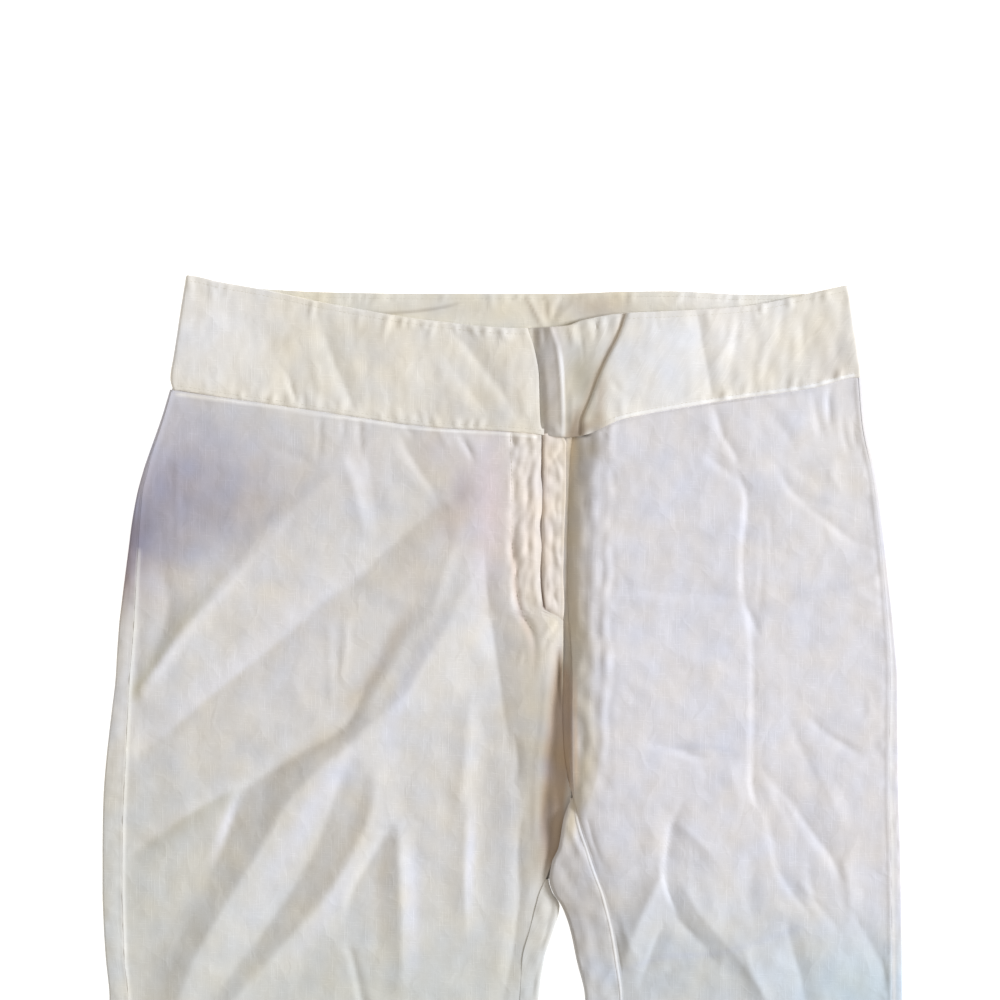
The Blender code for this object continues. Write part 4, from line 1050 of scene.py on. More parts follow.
def make_fly_shield():
    """The strip of cloth beside the slit."""
    hidden_edge, top, length = 12, 455.5, 105
    share = np.linspace(0, 1, 32)
    height = spread(1, 0, 0.014)[:, None]
    y = np.tile(height * length + SLIT_END, len(share))
    for _ in range(3):  # its lower edge tucks in where the front panel closes over it
        edge = SHIELD_EDGE("x", y) - 1.6 * (1 - step_up(top - y, 0, 6))
        x = hidden_edge + share * (edge - hidden_edge)
        lowest = SLIT_END - 2.4 - 0.73 * np.maximum(x - 24.4, 0)
        y = lowest + height * (top - lowest)
    z = Z_SHIELD + 1.5 * step_up(x, 22.8, 25.4) + 0.5 * step_up(x, 28, edge - 1.5)
    z += crumple(x, y, seed=41, size=9, height=0.26) * step_up(x, 24, 27) + fold_height(x, y, SHIELD_FOLDS)
    tuck = 0.8
    z -= tuck * (1 - step_up(y - lowest, 1.2, 5.0))
    out = step_up(y[:, -1:] - lowest[:, -1:], 1, 9)
    turned_x = edge[:, -1:] + np.concatenate([0.4 * out, 0.5 * out, np.full_like(out, -1.5)], axis=1)
    turned_y = np.tile(y[:, -1:], 3)
    turned_z = z[:, -1:] - np.array([0.35, 0.9, 1.1])
    grids = [np.concatenate(pair, axis=1) for pair in ((x, turned_x), (y, turned_y), (z, turned_z))]
    return shell("fly_shield_cloth", [np.stack(grids, axis=-1)], LINEN, shade_shield)


def make_zip_tape():
    """The zip's plain tape, under the lap."""
    first, last, top, grey, wall = 6, 22, 450, 0.62, 0.35
    rows = []
    for y in spread(top, SLIT_END + 2, 3.0):
        x = np.linspace(first, last, 12)
        rows.append(np.stack([x, np.full_like(x, y), np.full_like(x, Z_ZIP)], axis=-1))
    return shell("zip_tape", [np.array(rows)], wall, lambda x, y: np.full((len(x), 3), grey))


# ----------------------------------------
# Colour of the cloth: soft washes and strokes over a light ground. They carry soft lavender, pink and blue
# tints, and also painted light and shade: painted highlights and shade along its seams, crests and troughs
# as they are lit from the wearer's left, painted shade on the hip and in the hollows, and painted shadows
# beside raised edges.

def linear(*values):
    """Linear colour from display values between 0 and 1."""
    return np.array([v / 12.92 if v <= 0.04045 else ((v + 0.055) / 1.055) ** 2.4 for v in values])


MOTTLING_SEED = 61
WARMER = (1.0, 0.25, -1.3)  # how red, green and blue shift where the cloth is warmer
BRIGHTEST = 0.94


def washed(ground, washes, strokes):
    """A shade function: the cloth's colour with painted light and shade. Each wash is (x, y, half width,
    half height, share, colour), soft at its rim. Each stroke is a colour and its paths, each (width on the
    right, width on the left, ((x, y, share), ...))."""

    def shade(x, y):
        colour = np.tile(linear(*ground), (len(x), 1))
        for cx, cy, wide, tall, share, tone in washes:
            weight = share * np.exp(-(((x - cx) / wide) ** 2 + ((y - cy) / tall) ** 2))
            colour += weight[:, None] * (linear(*tone) - colour)
        for tone, paths in strokes:
            rows = [(right, left, 0.0, path) for right, left, path in paths]
            weight = np.clip(fold_height(x, y, rows), 0, 1)
            colour += weight[:, None] * (linear(*tone) - colour)
        large, warm_large, small, warm_small = (
            crumple(x, y, MOTTLING_SEED + i, size, height)
            for i, (size, height) in enumerate(((44, 0.014), (60, 0.010), (15, 0.012), (22, 0.010))))
        colour *= 1 + (large + small)[:, None]
        warmth = warm_large + warm_small
        colour += warmth[:, None] * np.array(WARMER)
        return np.clip(colour, 0, BRIGHTEST)

    return shade


def beside(table, name, offset, low, high, share):
    """A path beside one of a leg's lines, faded at both ends."""
    corners, fullness = 14, 0.4
    places = np.linspace(high, low, corners)
    fade = np.sin(math.pi * np.linspace(0.02, 0.98, corners)) ** fullness
    return tuple((float(table(name, y)) + offset, y, share * f) for y, f in zip(places, fade))


def below_waist(first, last, offset, share):
    """A path under the front waist seam."""
    return tuple((x, float(across("front_seam", x)) - offset, share) for x in np.linspace(first, last, 12))


# painted shade for the deep hollow beside the centre fold
PAINTED_HOLLOW_SHADE = (0.75, 0.675, 0.60)
# on the seams it is partly the lighter tone of the plies beneath
# painted highlight on the seams' rolls, the lap's edge and the underlap's crest;
PAINTED_HIGHLIGHT = (0.93, 0.93, 0.935)

# Right leg: a light ground with lavender, pink and blue tints, painted shade and painted highlights.
shade_right = washed((0.87, 0.864, 0.857), (
    # Washes: painted shade on the hip and beside the fly, darker towards the hem, and painted light on
    # flanks that face the lamp.
    (-198, 424, 50, 42, 0.95, (0.69, 0.685, 0.77)),
    (-223, 394, 17, 25, 0.95, (0.53, 0.52, 0.605)),
    (-203, 384, 18, 17, 0.55, (0.68, 0.67, 0.735)),
    (-209, 364, 9, 14, 0.6, (0.77, 0.765, 0.825)),
    (-130, 305, 30, 24, 0.4, (0.88, 0.875, 0.885)),
    (-215, 290, 26, 24, 0.4, (0.89, 0.89, 0.90)),
    (18, 320, 14, 30, 0.3, (0.91, 0.89, 0.86)),
    (-150, 428, 44, 30, 0.5, (0.78, 0.77, 0.79)),
    (-8, 412, 13, 44, 0.9, (0.945, 0.90, 0.93)),
    (-24, 420, 9, 19, 0.7, (0.73, 0.675, 0.66)),
    (-40, 446, 16, 16, 0.5, (0.80, 0.755, 0.735)),
    (-84, 438, 20, 30, 0.4, (0.885, 0.875, 0.90)),
    (-31, 402, 13, 17, 0.75, (0.79, 0.75, 0.73)),
    (-54, 372, 17, 24, 0.5, (0.79, 0.76, 0.73)),
    (-195, 362, 24, 14, 0.5, (0.91, 0.89, 0.86)),
    (-120, 345, 30, 30, 0.4, (0.90, 0.885, 0.885)),
    (18, 396, 14, 56, 0.85, (0.95, 0.90, 0.86)),
    (18, 270, 9, 90, 0.7, (0.80, 0.77, 0.70)),
    (-60, 110, 190, 66, 0.6, (0.80, 0.82, 0.80)),
    (-225, 170, 26, 60, 0.5, (0.875, 0.885, 0.87)),
    (-122, 224, 26, 40, 0.5, (0.80, 0.79, 0.76)),
    (-200, 200, 50, 60, 0.4, (0.82, 0.83, 0.80)),
    (-238, 180, 10, 90, 0.5, (0.88, 0.885, 0.87)),
    (-168, 414, 28, 26, 0.5, (0.69, 0.665, 0.675)),
    (-206, 466, 26, 22, 0.7, (0.80, 0.81, 0.88)),
    (-229, 372, 9, 22, 0.7, (0.62, 0.535, 0.535)),
), (
    # Strokes: painted shade in the hollow beside the centre fold, a painted dark line at the lap's edge,
    # and painted light on the cream strip at the hollow's far side.
    ((0.74, 0.71, 0.665), ((7, 10, ((33, 330, 0), (30, 310, 0.3), (27, 295, 0.5), (25, 280, 0.7),
        (23.4, 265, 0.8), (22, 250, 1.0), (20.5, 235, 1.2), (20.5, 220, 1.2), (22, 205, 1.0), (23, 192, 0.5),
        (23, 182, 0))),)),
    ((0.72, 0.70, 0.655), ((7, 7, ((28, 318, 0), (26, 300, 0.3), (24.5, 280, 0.45), (23.4, 262, 0.5),
        (22.6, 240, 0.55), (22, 218, 0.5), (22, 198, 0.3), (21, 184, 0))),)),
    (PAINTED_HOLLOW_SHADE, ((10, 12, ((36, 336, 0), (35.8, 322, 0.6), (35.6, 308, 1.3), (35.2, 295, 1.6), (34.2, 280, 1.8),
        (32.6, 265, 1.8), (31.8, 250, 1.8), (30, 235, 1.9), (29.6, 220, 1.9), (30.4, 205, 1.4),
        (29.4, 198, 0.8), (28.6, 191, 0.2), (28, 186, 0))),)),
    ((0.56, 0.505, 0.46), ((7.0, 6.5, ((32, 318, 0), (30.6, 300, 0.4), (29.4, 280, 0.5), (27.8, 265, 0.8),
        (27.2, 250, 0.7), (26.8, 236, 1.0), (26.8, 228, 1.2), (26, 220, 0.95), (26, 207, 0.4),
        (26, 196, 0))),)),
    ((0.81, 0.745, 0.70), ((6, 6, ((35, 312, 0), (34.4, 300, 0.35), (33.4, 288, 0.4), (32.4, 276, 0.2),
        (31, 262, 0))),)),
    ((0.50, 0.44, 0.385), ((1.5, 1.4, ((33.4, 328, 0), (33.2, 318, 1.0), (33.6, 308, 0.9), (34, 298, 0.6),
        (34.4, 288, 0))),)),
    ((0.95, 0.92, 0.86), ((1.3, 1.6, ((36.4, 352, 0), (36.0, 340, 0.9), (36.0, 325, 0.95), (36.0, 312, 0.9),
        (36.0, 303, 0.6), (36.0, 294, 0))),)),
    ((0.90, 0.87, 0.81), ((9, 9, ((30, 352, 0), (30, 345, 0.9), (31, 336, 0.6), (32, 326, 0))),)),
    # Painted light on the lit flanks, and painted shade and highlights along the hip's folds and ridges.
    ((0.88, 0.89, 0.935), ((13, 13, ((-84, 276, 0), (-98, 254, 0.7), (-116, 228, 0.7), (-130, 202, 0.5),
        (-146, 176, 0.2), (-168, 136, 0))), (9, 9, ((-34, 350, 0), (-46, 328, 0.5), (-60, 300, 0.7),
        (-68, 276, 0.6), (-66, 250, 0))), (6, 6, ((-157, 240, 0), (-164, 226, 0.8), (-170, 210, 0.6),
        (-177, 194, 0))), (9, 9, ((-86, 206, 0), (-98, 182, 0.5), (-112, 160, 0.4), (-126, 142, 0.2),
        (-140, 126, 0))), (5, 5, ((-18, 232, 0), (-19, 214, 0.7), (-20, 190, 0.7), (-20, 162, 0))), (9, 9,
        ((-54, 216, 0), (-54, 190, 0.6), (-54, 160, 0.6), (-54, 124, 0))), )),
    ((0.80, 0.785, 0.705), ((13, 3.5, ((-160, 372, 0), (-180, 352, 0.4), (-194, 334, 0.5), (-206, 316, 0.7),
        (-217, 300, 0.7), (-222, 292, 0))),)),
    ((0.90, 0.90, 0.90), ((12, 2.0, ((-150, 246, 0), (-162, 242, 0.4), (-180, 232, 0.5), (-200, 220, 0.5),
        (-214, 210, 0.4), (-226, 202, 0))),)),
    ((0.80, 0.80, 0.755), ((2.0, 15, ((-158, 244, 0), (-166, 239, 0.4), (-182, 230, 0.5), (-200, 219, 0.5),
        (-214, 209, 0.4), (-226, 201, 0))),)),
    ((0.95, 0.95, 0.965), ((3.5, 10, ((-128, 412, 0), (-143, 394, 0.4), (-157, 377, 0.3), (-167, 366, 0.7),
        (-180, 351, 0.3), (-190, 339, 0.5), (-199, 326, 0.9), (-208, 313, 0.9), (-218, 299, 0.4),
        (-222, 292, 0))),)),
    ((0.89, 0.892, 0.92), ((18, 2.5, ((-70, 380, 0), (-90, 366, 0.4), (-112, 351, 0.4), (-132, 334, 0.5),
        (-152, 318, 0.7), (-172, 302, 0.7), (-192, 285, 0.5), (-210, 270, 0.3), (-222, 262, 0))),)),
    ((0.81, 0.775, 0.71), ((8, 8, ((-88, 290, 0), (-104, 274, 0.4), (-124, 262, 0.4), (-146, 242, 0.2),
        (-166, 210, 0.1), (-186, 170, 0))), (8, 8, ((-80, 250, 0), (-84, 228, 0.3), (-96, 202, 0.3),
        (-120, 170, 0.2), (-146, 140, 0))), (8, 8, ((-64, 218, 0), (-70, 200, 0.4), (-74, 176, 0.4),
        (-68, 148, 0))), (10, 10, ((-176, 236, 0), (-196, 222, 0.3), (-220, 206, 0.2), (-228, 200, 0))), )),
    ((0.72, 0.675, 0.62), ((10, 9, ((-50, 354, 0), (-61, 339, 0.5), (-71, 321, 0.5), (-81, 306, 0.5),
        (-92, 294, 0.3), (-100, 286, 0))),)),
    # Painted highlights along the side seam and under the waist seam, painted shade at the slit's end and
    # along the fly's J, and a painted highlight on the lap's edge.
    ((0.965, 0.965, 0.95), ((1.9, 2.3, beside(RIGHT, "side_seam", 0.4, 60, 385, 1.0)),)),
    ((0.96, 0.955, 0.95), ((1.2, 1.4, below_waist(-196, 20, 2.3, 0.85)),)),
    ((0.66, 0.58, 0.52), ((0.9, 0.9, ((24.0, 353, 0.9), (25.4, 348.5, 0.8), (26.6, 345.5, 0))),)),
    ((0.84, 0.78, 0.74), ((4, 4, ((5, 408, 0), (6.2, 384, 0.7), (8.2, 360, 0.7), (12, 344, 0.7),
        (17, 330, 0.4), (19, 310, 0))),)),
    (PAINTED_HIGHLIGHT, ((2.4, 2.4, ((20, 452, 0), (20.5, 430, 0.15), (20.5, 372, 0.2), (22, 350, 0))),)),
))
# Left leg: a light ground with blue tints, painted shade and painted highlights.
shade_left = washed((0.868, 0.862, 0.878), (
    # Washes: blue tints, and painted shade towards the hem and over the crotch.
    (110, 340, 60, 120, 0.5, (0.86, 0.86, 0.89)),
    (200, 440, 40, 60, 0.5, (0.89, 0.88, 0.87)),
    (210, 120, 50, 34, 0.9, (0.76, 0.835, 0.885)),
    (110, 128, 90, 56, 0.8, (0.79, 0.815, 0.825)),
    (42, 168, 22, 42, 0.85, (0.75, 0.74, 0.735)),
), (
    # Strokes: painted shade down the valley beside the shield, on the centre fold's shaded flank and in
    # the hollow, with painted highlights on the fold's lip.
    ((0.81, 0.765, 0.68), ((8, 16, ((41, 462, 1.0), (40, 440, 0.95), (39.5, 400, 0.9), (39.5, 360, 0.85),
        (40, 335, 0.85), (40, 315, 0.7), (38, 300, 0.4), (36, 290, 0))),)),
    ((0.66, 0.62, 0.55), ((9, 10, ((56, 466, 0.4), (55, 456, 0.6), (53, 446, 0.9), (50, 438, 0.6),
        (48, 424, 0.4), (48, 408, 0.2), (50, 392, 0))),)),
    ((0.95, 0.88, 0.77), ((3, 3.4, ((43, 460, 0.8), (42.4, 450, 0.9), (42, 438, 0.6), (41, 424, 0))),)),
    ((0.83, 0.805, 0.755), ((9, 12, ((46, 352, 0), (46.5, 330, 0.8), (47, 304, 0.9), (49, 285, 1.0),
        (50, 266, 1.0), (48.5, 250, 1.0), (47, 238, 0.8), (45, 228, 0))),)),
    ((0.95, 0.865, 0.775), ((3, 3, ((43, 316, 0), (43, 300, 0.6), (43.4, 280, 0.8), (43.6, 262, 0.8),
        (43.8, 248, 0.6), (43.6, 240, 0))),)),
    ((0.78, 0.755, 0.72), ((8, 1.2, ((44, 293, 0), (47, 286, 0.4), (51, 276, 0.5), (55.4, 264, 0.5),
        (56.6, 256, 0.5), (54, 246, 0.5), (50.5, 236, 0.4), (46.5, 229, 0))),)),
    ((0.86, 0.82, 0.74), ((6, 7, ((43, 240, 0), (42.5, 232, 0.8), (41, 222, 0.8), (40, 214, 0.5),
        (40, 206, 0))),)),
    (PAINTED_HOLLOW_SHADE, ((6, 5, ((37, 320, 0), (38, 305, 1.4), (38, 280, 1.6), (38, 255, 1.6), (39, 243, 1.0),
        (41, 236, 0))),)),
    # Painted shade along the storage creases across the leg.
    ((0.78, 0.80, 0.85), ((4, 3, ((62, 128, 0), (78, 136, 0.4), (98, 142, 0.5), (126, 143.5, 0.5),
        (148, 149, 0.4), (174, 158, 0.3), (186, 162, 0))),)),
    ((0.78, 0.79, 0.84), ((3, 3, ((88, 264, 0), (110, 268, 0.3), (130, 267, 0.3), (146, 262, 0))),)),
    ((0.90, 0.87, 0.82), ((3.5, 3.5, ((38, 358, 0), (38, 350, 0.7), (38.6, 341, 0.5), (40, 332, 0.4),
        (40, 322, 0))),)),
    # Painted highlights along the inseam and the side seam.
    (PAINTED_HIGHLIGHT, ((1.8, 1.6, beside(LEFT, "start", 0.6, 116, 229, 0.9)),)),
    (PAINTED_HIGHLIGHT, ((2.4, 2.2, beside(LEFT, "side_seam", 1.3, 60, 340, 0.75)),)),
))
# Waistband: a creamy ground with painted light and painted shade.
shade_band = washed((0.915, 0.90, 0.865), (
    # Washes: painted light on the lit parts, painted shade on the underlap's tab and beside the centre fold.
    (-182, 518, 36, 30, 0.95, (0.945, 0.945, 0.95)),
    (90, 500, 30, 40, 0.85, (0.89, 0.895, 0.91)),
    (140, 515, 30, 30, 0.6, (0.935, 0.93, 0.93)),
    (-105, 505, 22, 22, 0.5, (0.88, 0.865, 0.82)),
    (-35, 500, 26, 30, 0.4, (0.89, 0.88, 0.86)),
    (31, 488, 7, 50, 0.7, (0.81, 0.785, 0.775)),
    (47, 491, 11, 24, 0.95, (0.76, 0.74, 0.68)),
    (-68, 506, 14, 18, 0.4, (0.86, 0.845, 0.82)),
    (-32, 470, 18, 12, 0.5, (0.84, 0.82, 0.79)),
    (10, 488, 9, 22, 0.35, (0.93, 0.90, 0.85)),
    (132, 530, 14, 14, 0.5, (0.90, 0.885, 0.87)),
    (198, 490, 14, 30, 0.8, (0.86, 0.84, 0.815)),
), (
    # Strokes: painted shade beside the lapping end, in the band's lower corner and under the centre fold's
    # edge, and a painted highlight on the underlap's crest.
    ((0.66, 0.64, 0.63), ((5, 9, ((22, 526, 0.6), (23, 512, 0.5), (24, 498, 0.2), (25, 488, 0))),)),
    ((0.66, 0.62, 0.59), ((3, 4, ((19, 524, 0.5), (21, 505, 0.3), (24, 490, 0.4), (25, 470, 0.5),
        (26, 456, 0.5))),)),
    ((0.70, 0.62, 0.52), ((9, 9, ((42, 452, 0.9), (43, 458, 0.8), (45, 466, 0.5), (46, 474, 0))),)),
    ((0.80, 0.755, 0.70), ((4, 6, ((62, 492, 0), (58.5, 482, 0.7), (58, 472, 0.7), (58.5, 463, 0.6),
        (62, 456, 0.4))),)),
    (PAINTED_HIGHLIGHT, ((3.2, 1.4, ((30.5, 520, 0), (34.2, 507, 0.2), (35.6, 498, 0.7), (36.0, 488, 0.8),
        (36.0, 470, 0.7), (36, 455, 0.4))),)),
    ((0.80, 0.775, 0.75), ((3, 3, ((30, 521, 0.8), (32, 512, 0.7), (34, 504, 0))),)),
    ((0.55, 0.53, 0.49), ((4.5, 3, ((40, 484, 0), (40, 475, 0.35), (40, 470, 0.4), (39.5, 464, 0.65),
        (39.5, 460, 0.5), (39, 453, 0.4))),)),
    ((0.62, 0.585, 0.54), ((6, 8, ((54, 476, 0), (55, 468, 0.5), (56, 462, 0.6), (56, 456, 0.8),
        (60, 452, 0.6))),)),
    ((0.84, 0.79, 0.72), ((5.0, 1.6, ((73.5, 527, 0.7), (68.5, 513, 0.7), (60, 496, 0.7), (53, 480, 0.7),
        (48, 466, 0.6), (47, 456, 0.4))),)),
    ((0.70, 0.64, 0.56), ((5, 6, ((40, 452, 0.9), (45, 455, 0.9), (50, 459, 0.8), (55, 462, 0.4),
        (59, 468, 0))),)),
    # A painted highlight under the waist seam's stitching.
    ((0.965, 0.965, 0.965),
        ((2.0, 1.8, tuple((x, y + 4.6, 1.0) for x, y, _ in below_waist(68, 210, 3.4, 0))),)),
))
# Facing: a painted shadow of the front waistband's top edge, and painted shade along its creases.
shade_facing = washed((0.905, 0.89, 0.84), (
    (58, 532, 22, 9, 0.85, (0.78, 0.735, 0.67)),
    (24, 530, 12, 9, 0.4, (0.84, 0.80, 0.74)),
    (-30, 530, 60, 7, 0.3, (0.84, 0.82, 0.79)),
    (125, 536, 36, 9, 0.9, (0.945, 0.94, 0.93)),
), (
    ((0.71, 0.68, 0.63), ((1.4, 2.4, ((-84, 528.5, 0), (-70, 527.5, 0.5), (-50, 529, 0.6), (-34, 531.5, 0.5),
        (-22, 535, 0))),)),
    ((0.80, 0.76, 0.70), ((1.2, 1.2, ((12, 539, 0), (16, 533, 0.6), (20, 526, 0.6), (22, 520, 0.4))),)),
))
# Fly shield: a painted shadow along the slit under the lap's edge, and painted shade on its turned edge.
shade_shield = washed((0.95, 0.915, 0.875), (
    (26, 410, 3, 60, 0.5, (0.87, 0.81, 0.77)),
    (36.5, 400, 1.6, 80, 0.3, (0.86, 0.80, 0.70)),
), (
    ((0.58, 0.50, 0.44), ((1.2, 1.2, ((23.2, 460, 1.0), (23.4, 430, 1.0), (22.6, 400, 1.0), (22.9, 370, 1.0),
        (24.5, 354, 1.0), (26, 346, 0))),)),
    ((0.78, 0.735, 0.665), ((1.6, 1.6, ((36.2, 454, 0.7), (37.2, 444, 0.7), (37.1, 424, 0.6),
        (36.3, 401, 0.6), (35.5, 370, 0.6), (36.0, 353, 0.5), (35.7, 343, 0.4))),)),
))


# ----------------------------------------
# Materials.

def fill(tree, node, inputs):
    """Sets each input given to its value, or links it to its socket."""
    for name, value in inputs.items():
        if isinstance(value, bpy.types.NodeSocket):
            tree.links.new(value, node.inputs[name])
        else:
            node.inputs[name].default_value = value


def add_node(tree, kind, inputs, **settings):
    """A new node of the tree with its settings and inputs."""
    node = tree.nodes.new(kind)
    for setting, value in settings.items():
        setattr(node, setting, value)
    fill(tree, node, inputs)
    return node


def new_material(name):
    """A material, its tree and its surface."""
    material = bpy.data.materials.new(name)
    material.use_nodes = True
    return material, material.node_tree, material.node_tree.nodes["Principled BSDF"]


def weave_group():
    """Plain-woven linen: slubs in both directions, fine threads and slight mottling. It reads a place in
    millimetres, across and along the cloth, and puts out a brightness factor and a height."""
    group = bpy.data.node_groups.new("linen weave", "ShaderNodeTree")
    group.interface.new_socket("Place", in_out="INPUT", socket_type="NodeSocketVector")
    for name, default in (("Slubs", 0.06), ("Threads", 0.05), ("Mottling", 0.03), ("Crinkles", 1.0)):
        socket = group.interface.new_socket(name, in_out="INPUT", socket_type="NodeSocketFloat")
        socket.default_value = default
    group.interface.new_socket("Factor", in_out="OUTPUT", socket_type="NodeSocketFloat")
    group.interface.new_socket("Height", in_out="OUTPUT", socket_type="NodeSocketFloat")
    inputs = group.nodes.new("NodeGroupInput").outputs
    place = inputs["Place"]

    def clouds(vector, scale, detail):
        return add_node(group, "ShaderNodeTexNoise", {"Vector": vector, "Scale": scale, "Detail": detail},
                        noise_dimensions="2D").outputs

    def moved(vector, scale, offset):
        return add_node(group, "ShaderNodeVectorMath", {0: vector, 1: scale, 2: offset},
                        operation="MULTIPLY_ADD").outputs[0]

    def noise(scale, detail, seed):
        return clouds(moved(place, scale, (seed, 1.7 * seed, 0)), 1.0, detail)["Fac"]

    def sparse(value, low, high):
        return add_node(group, "ShaderNodeMapRange", {"Value": value, "From Min": low, "From Max": high},
                        interpolation_type="SMOOTHSTEP").outputs["Result"]

    def maths(operation, a, b):
        return add_node(group, "ShaderNodeMath", {0: a, 1: b}, operation=operation).outputs[0]

    def facets(scale, bend):
        bent = moved(clouds(place, 1.2 * scale, 2)["Color"], (bend, bend, 0), place)
        cells = add_node(group, "ShaderNodeTexVoronoi", {"Vector": bent, "Scale": scale},
                         voronoi_dimensions="2D", distance="MANHATTAN").outputs
        return cells["Distance"], cells["Color"]

    across_slubs = sparse(noise((0.10, 1.0, 1), detail=2, seed=3.1), low=0.58, high=0.76)
    along_slubs = sparse(noise((1.1, 0.045, 1), detail=2, seed=8.4), low=0.58, high=0.78)
    slubs = maths("ADD", across_slubs, along_slubs)
    large, large_tint = facets(scale=0.038, bend=34)
    small, small_tint = facets(scale=0.12, bend=12)
    weft, warp = noise((0.35, 2.6, 1), detail=1, seed=13.0), noise((2.8, 0.3, 1), detail=1, seed=17.0)
    threads = maths("ADD", weft, warp)
    mottling = maths("ADD", maths("MULTIPLY", large_tint, 0.4), maths("MULTIPLY", small_tint, 0.3))
    clouded = maths("MULTIPLY", noise((0.06, 0.06, 1), detail=3, seed=23.0), 0.6)
    mottling = maths("ADD", mottling, clouded)
    factor = maths("MULTIPLY", maths("SUBTRACT", slubs, 0.25), inputs["Slubs"])
    for value, middle, name in ((threads, 1.0, "Threads"), (mottling, 0.65, "Mottling")):
        part = maths("MULTIPLY", maths("SUBTRACT", value, middle), inputs[name])
        factor = maths("ADD", factor, part)
    creased = maths("ADD", maths("MULTIPLY", large, 6.5), maths("MULTIPLY", small, 1.0))
    fine = maths("ADD", maths("MULTIPLY", slubs, 0.5), maths("MULTIPLY", threads, 0.25))
    height = maths("ADD", fine, maths("MULTIPLY", creased, inputs["Crinkles"]))
    add_node(group, "NodeGroupOutput", {"Factor": maths("ADD", factor, 1.0), "Height": height})
    return group


def cloth_material(name, slubs, threads, mottling, crinkles, roughness):
    """Matte linen whose colour is the piece's shade attribute, tints with painted light and shade in
    them, varied by the weave.
    """
    material, tree, surface = new_material(name)
    place = add_node(tree, "ShaderNodeAttribute", {}, attribute_name="weave").outputs["Vector"]
    shade = add_node(tree, "ShaderNodeAttribute", {}, attribute_name="shade").outputs["Color"]
    amounts = {"Slubs": slubs, "Threads": threads, "Mottling": mottling, "Crinkles": crinkles}
    weave = add_node(tree, "ShaderNodeGroup", {**amounts, "Place": place}, node_tree=LINEN_WEAVE).outputs
    tone = add_node(tree, "ShaderNodeVectorMath", {0: shade, "Scale": weave["Factor"]}, operation="SCALE")
    raised = {"Strength": 1.0, "Distance": 0.06 * MM, "Height": weave["Height"]}
    bump = add_node(tree, "ShaderNodeBump", raised)
    fill(tree, surface, {
        "Base Color": tone.outputs["Vector"], "Normal": bump.outputs["Normal"], "Roughness": roughness,
        "Sheen Weight": 0.15, "Sheen Roughness": 0.5, "Specular IOR Level": 0.2})
    return material


LINEN_WEAVE = weave_group()
leg_linen = cloth_material(
    "leg linen", slubs=0.045, threads=0.02, mottling=0.05, crinkles=1.0, roughness=0.9)
band_linen = cloth_material(
    "waistband linen", slubs=0.045, threads=0.02, mottling=0.05, crinkles=0.9, roughness=0.88)
zip_weave = cloth_material(
    "zip tape weave", slubs=0.02, threads=0.14, mottling=0.03, crinkles=0.0, roughness=0.8)


def thread_material():
    """Cream sewing thread with a slight twist."""
    material, tree, surface = new_material("sewing thread")
    place = add_node(tree, "ShaderNodeTexCoord", {}).outputs["Object"]
    twist = add_node(tree, "ShaderNodeTexWave", {"Vector": place, "Scale": 900, "Distortion": 1.5})
    ramp = add_node(tree, "ShaderNodeValToRGB", {"Fac": twist.outputs["Fac"]})
    ramp.color_ramp.elements[0].color = (*linear(0.80, 0.78, 0.72), 1)
    ramp.color_ramp.elements[1].color = (*linear(0.90, 0.89, 0.85), 1)
    fill(tree, surface, {"Base Color": ramp.outputs["Color"], "Roughness": 0.6})
    return material


thread = thread_material()


def metal_material():
    """Dull nickel of the zip's teeth."""
    material, tree, surface = new_material("zip nickel")
    fill(tree, surface, {"Base Color": (*linear(0.78, 0.77, 0.74), 1), "Metallic": 0.9, "Roughness": 0.38})
    return material


nickel = metal_material()


# ----------------------------------------
# Stitches and zip teeth, repeated along lines by Geometry Nodes.

def repeat_tree(name, make_one, sizes):
    """A tree that puts one shape at every spacing along lines. make_one(tree, inputs) gives its
    geometry."""
    tree = bpy.data.node_groups.new(name, "GeometryNodeTree")
    tree.interface.new_socket("Lines", in_out="INPUT", socket_type="NodeSocketGeometry")
    for label, size in sizes:
        tree.interface.new_socket(label, in_out="INPUT", socket_type="NodeSocketFloat").default_value = size
    tree.interface.new_socket("Material", in_out="INPUT", socket_type="NodeSocketMaterial")
    tree.interface.new_socket("Geometry", in_out="OUTPUT", socket_type="NodeSocketGeometry")
    inputs = tree.nodes.new("NodeGroupInput").outputs
    curve = add_node(tree, "GeometryNodeMeshToCurve", {"Mesh": inputs["Lines"]}).outputs["Curve"]
    places = add_node(tree, "GeometryNodeCurveToPoints", {"Curve": curve, "Length": inputs["Spacing"]},
                      mode="LENGTH").outputs
    put = add_node(tree, "GeometryNodeInstanceOnPoints", {
        "Points": places["Points"], "Rotation": places["Rotation"], "Instance": make_one(tree, inputs)})
    real = add_node(tree, "GeometryNodeRealizeInstances", {"Geometry": put.outputs["Instances"]})
    made = {"Geometry": real.outputs["Geometry"], "Material": inputs["Material"]}
    painted = add_node(tree, "GeometryNodeSetMaterial", made)
    add_node(tree, "NodeGroupOutput", {"Geometry": painted.outputs["Geometry"]})
    return tree


def one_stitch(tree, inputs):
    """A stitch: a small drop of thread, long in the line's own direction."""
    drop = add_node(tree, "GeometryNodeMeshUVSphere", {"Segments": 6, "Rings": 5, "Radius": 1.0})
    thickness, length = inputs["Half thickness"], inputs["Half length"]
    sizes = add_node(tree, "ShaderNodeCombineXYZ", {"X": thickness, "Y": thickness, "Z": length})
    shaped = {"Geometry": drop.outputs["Mesh"], "Scale": sizes.outputs["Vector"]}
    return add_node(tree, "GeometryNodeTransform", shaped).outputs["Geometry"]


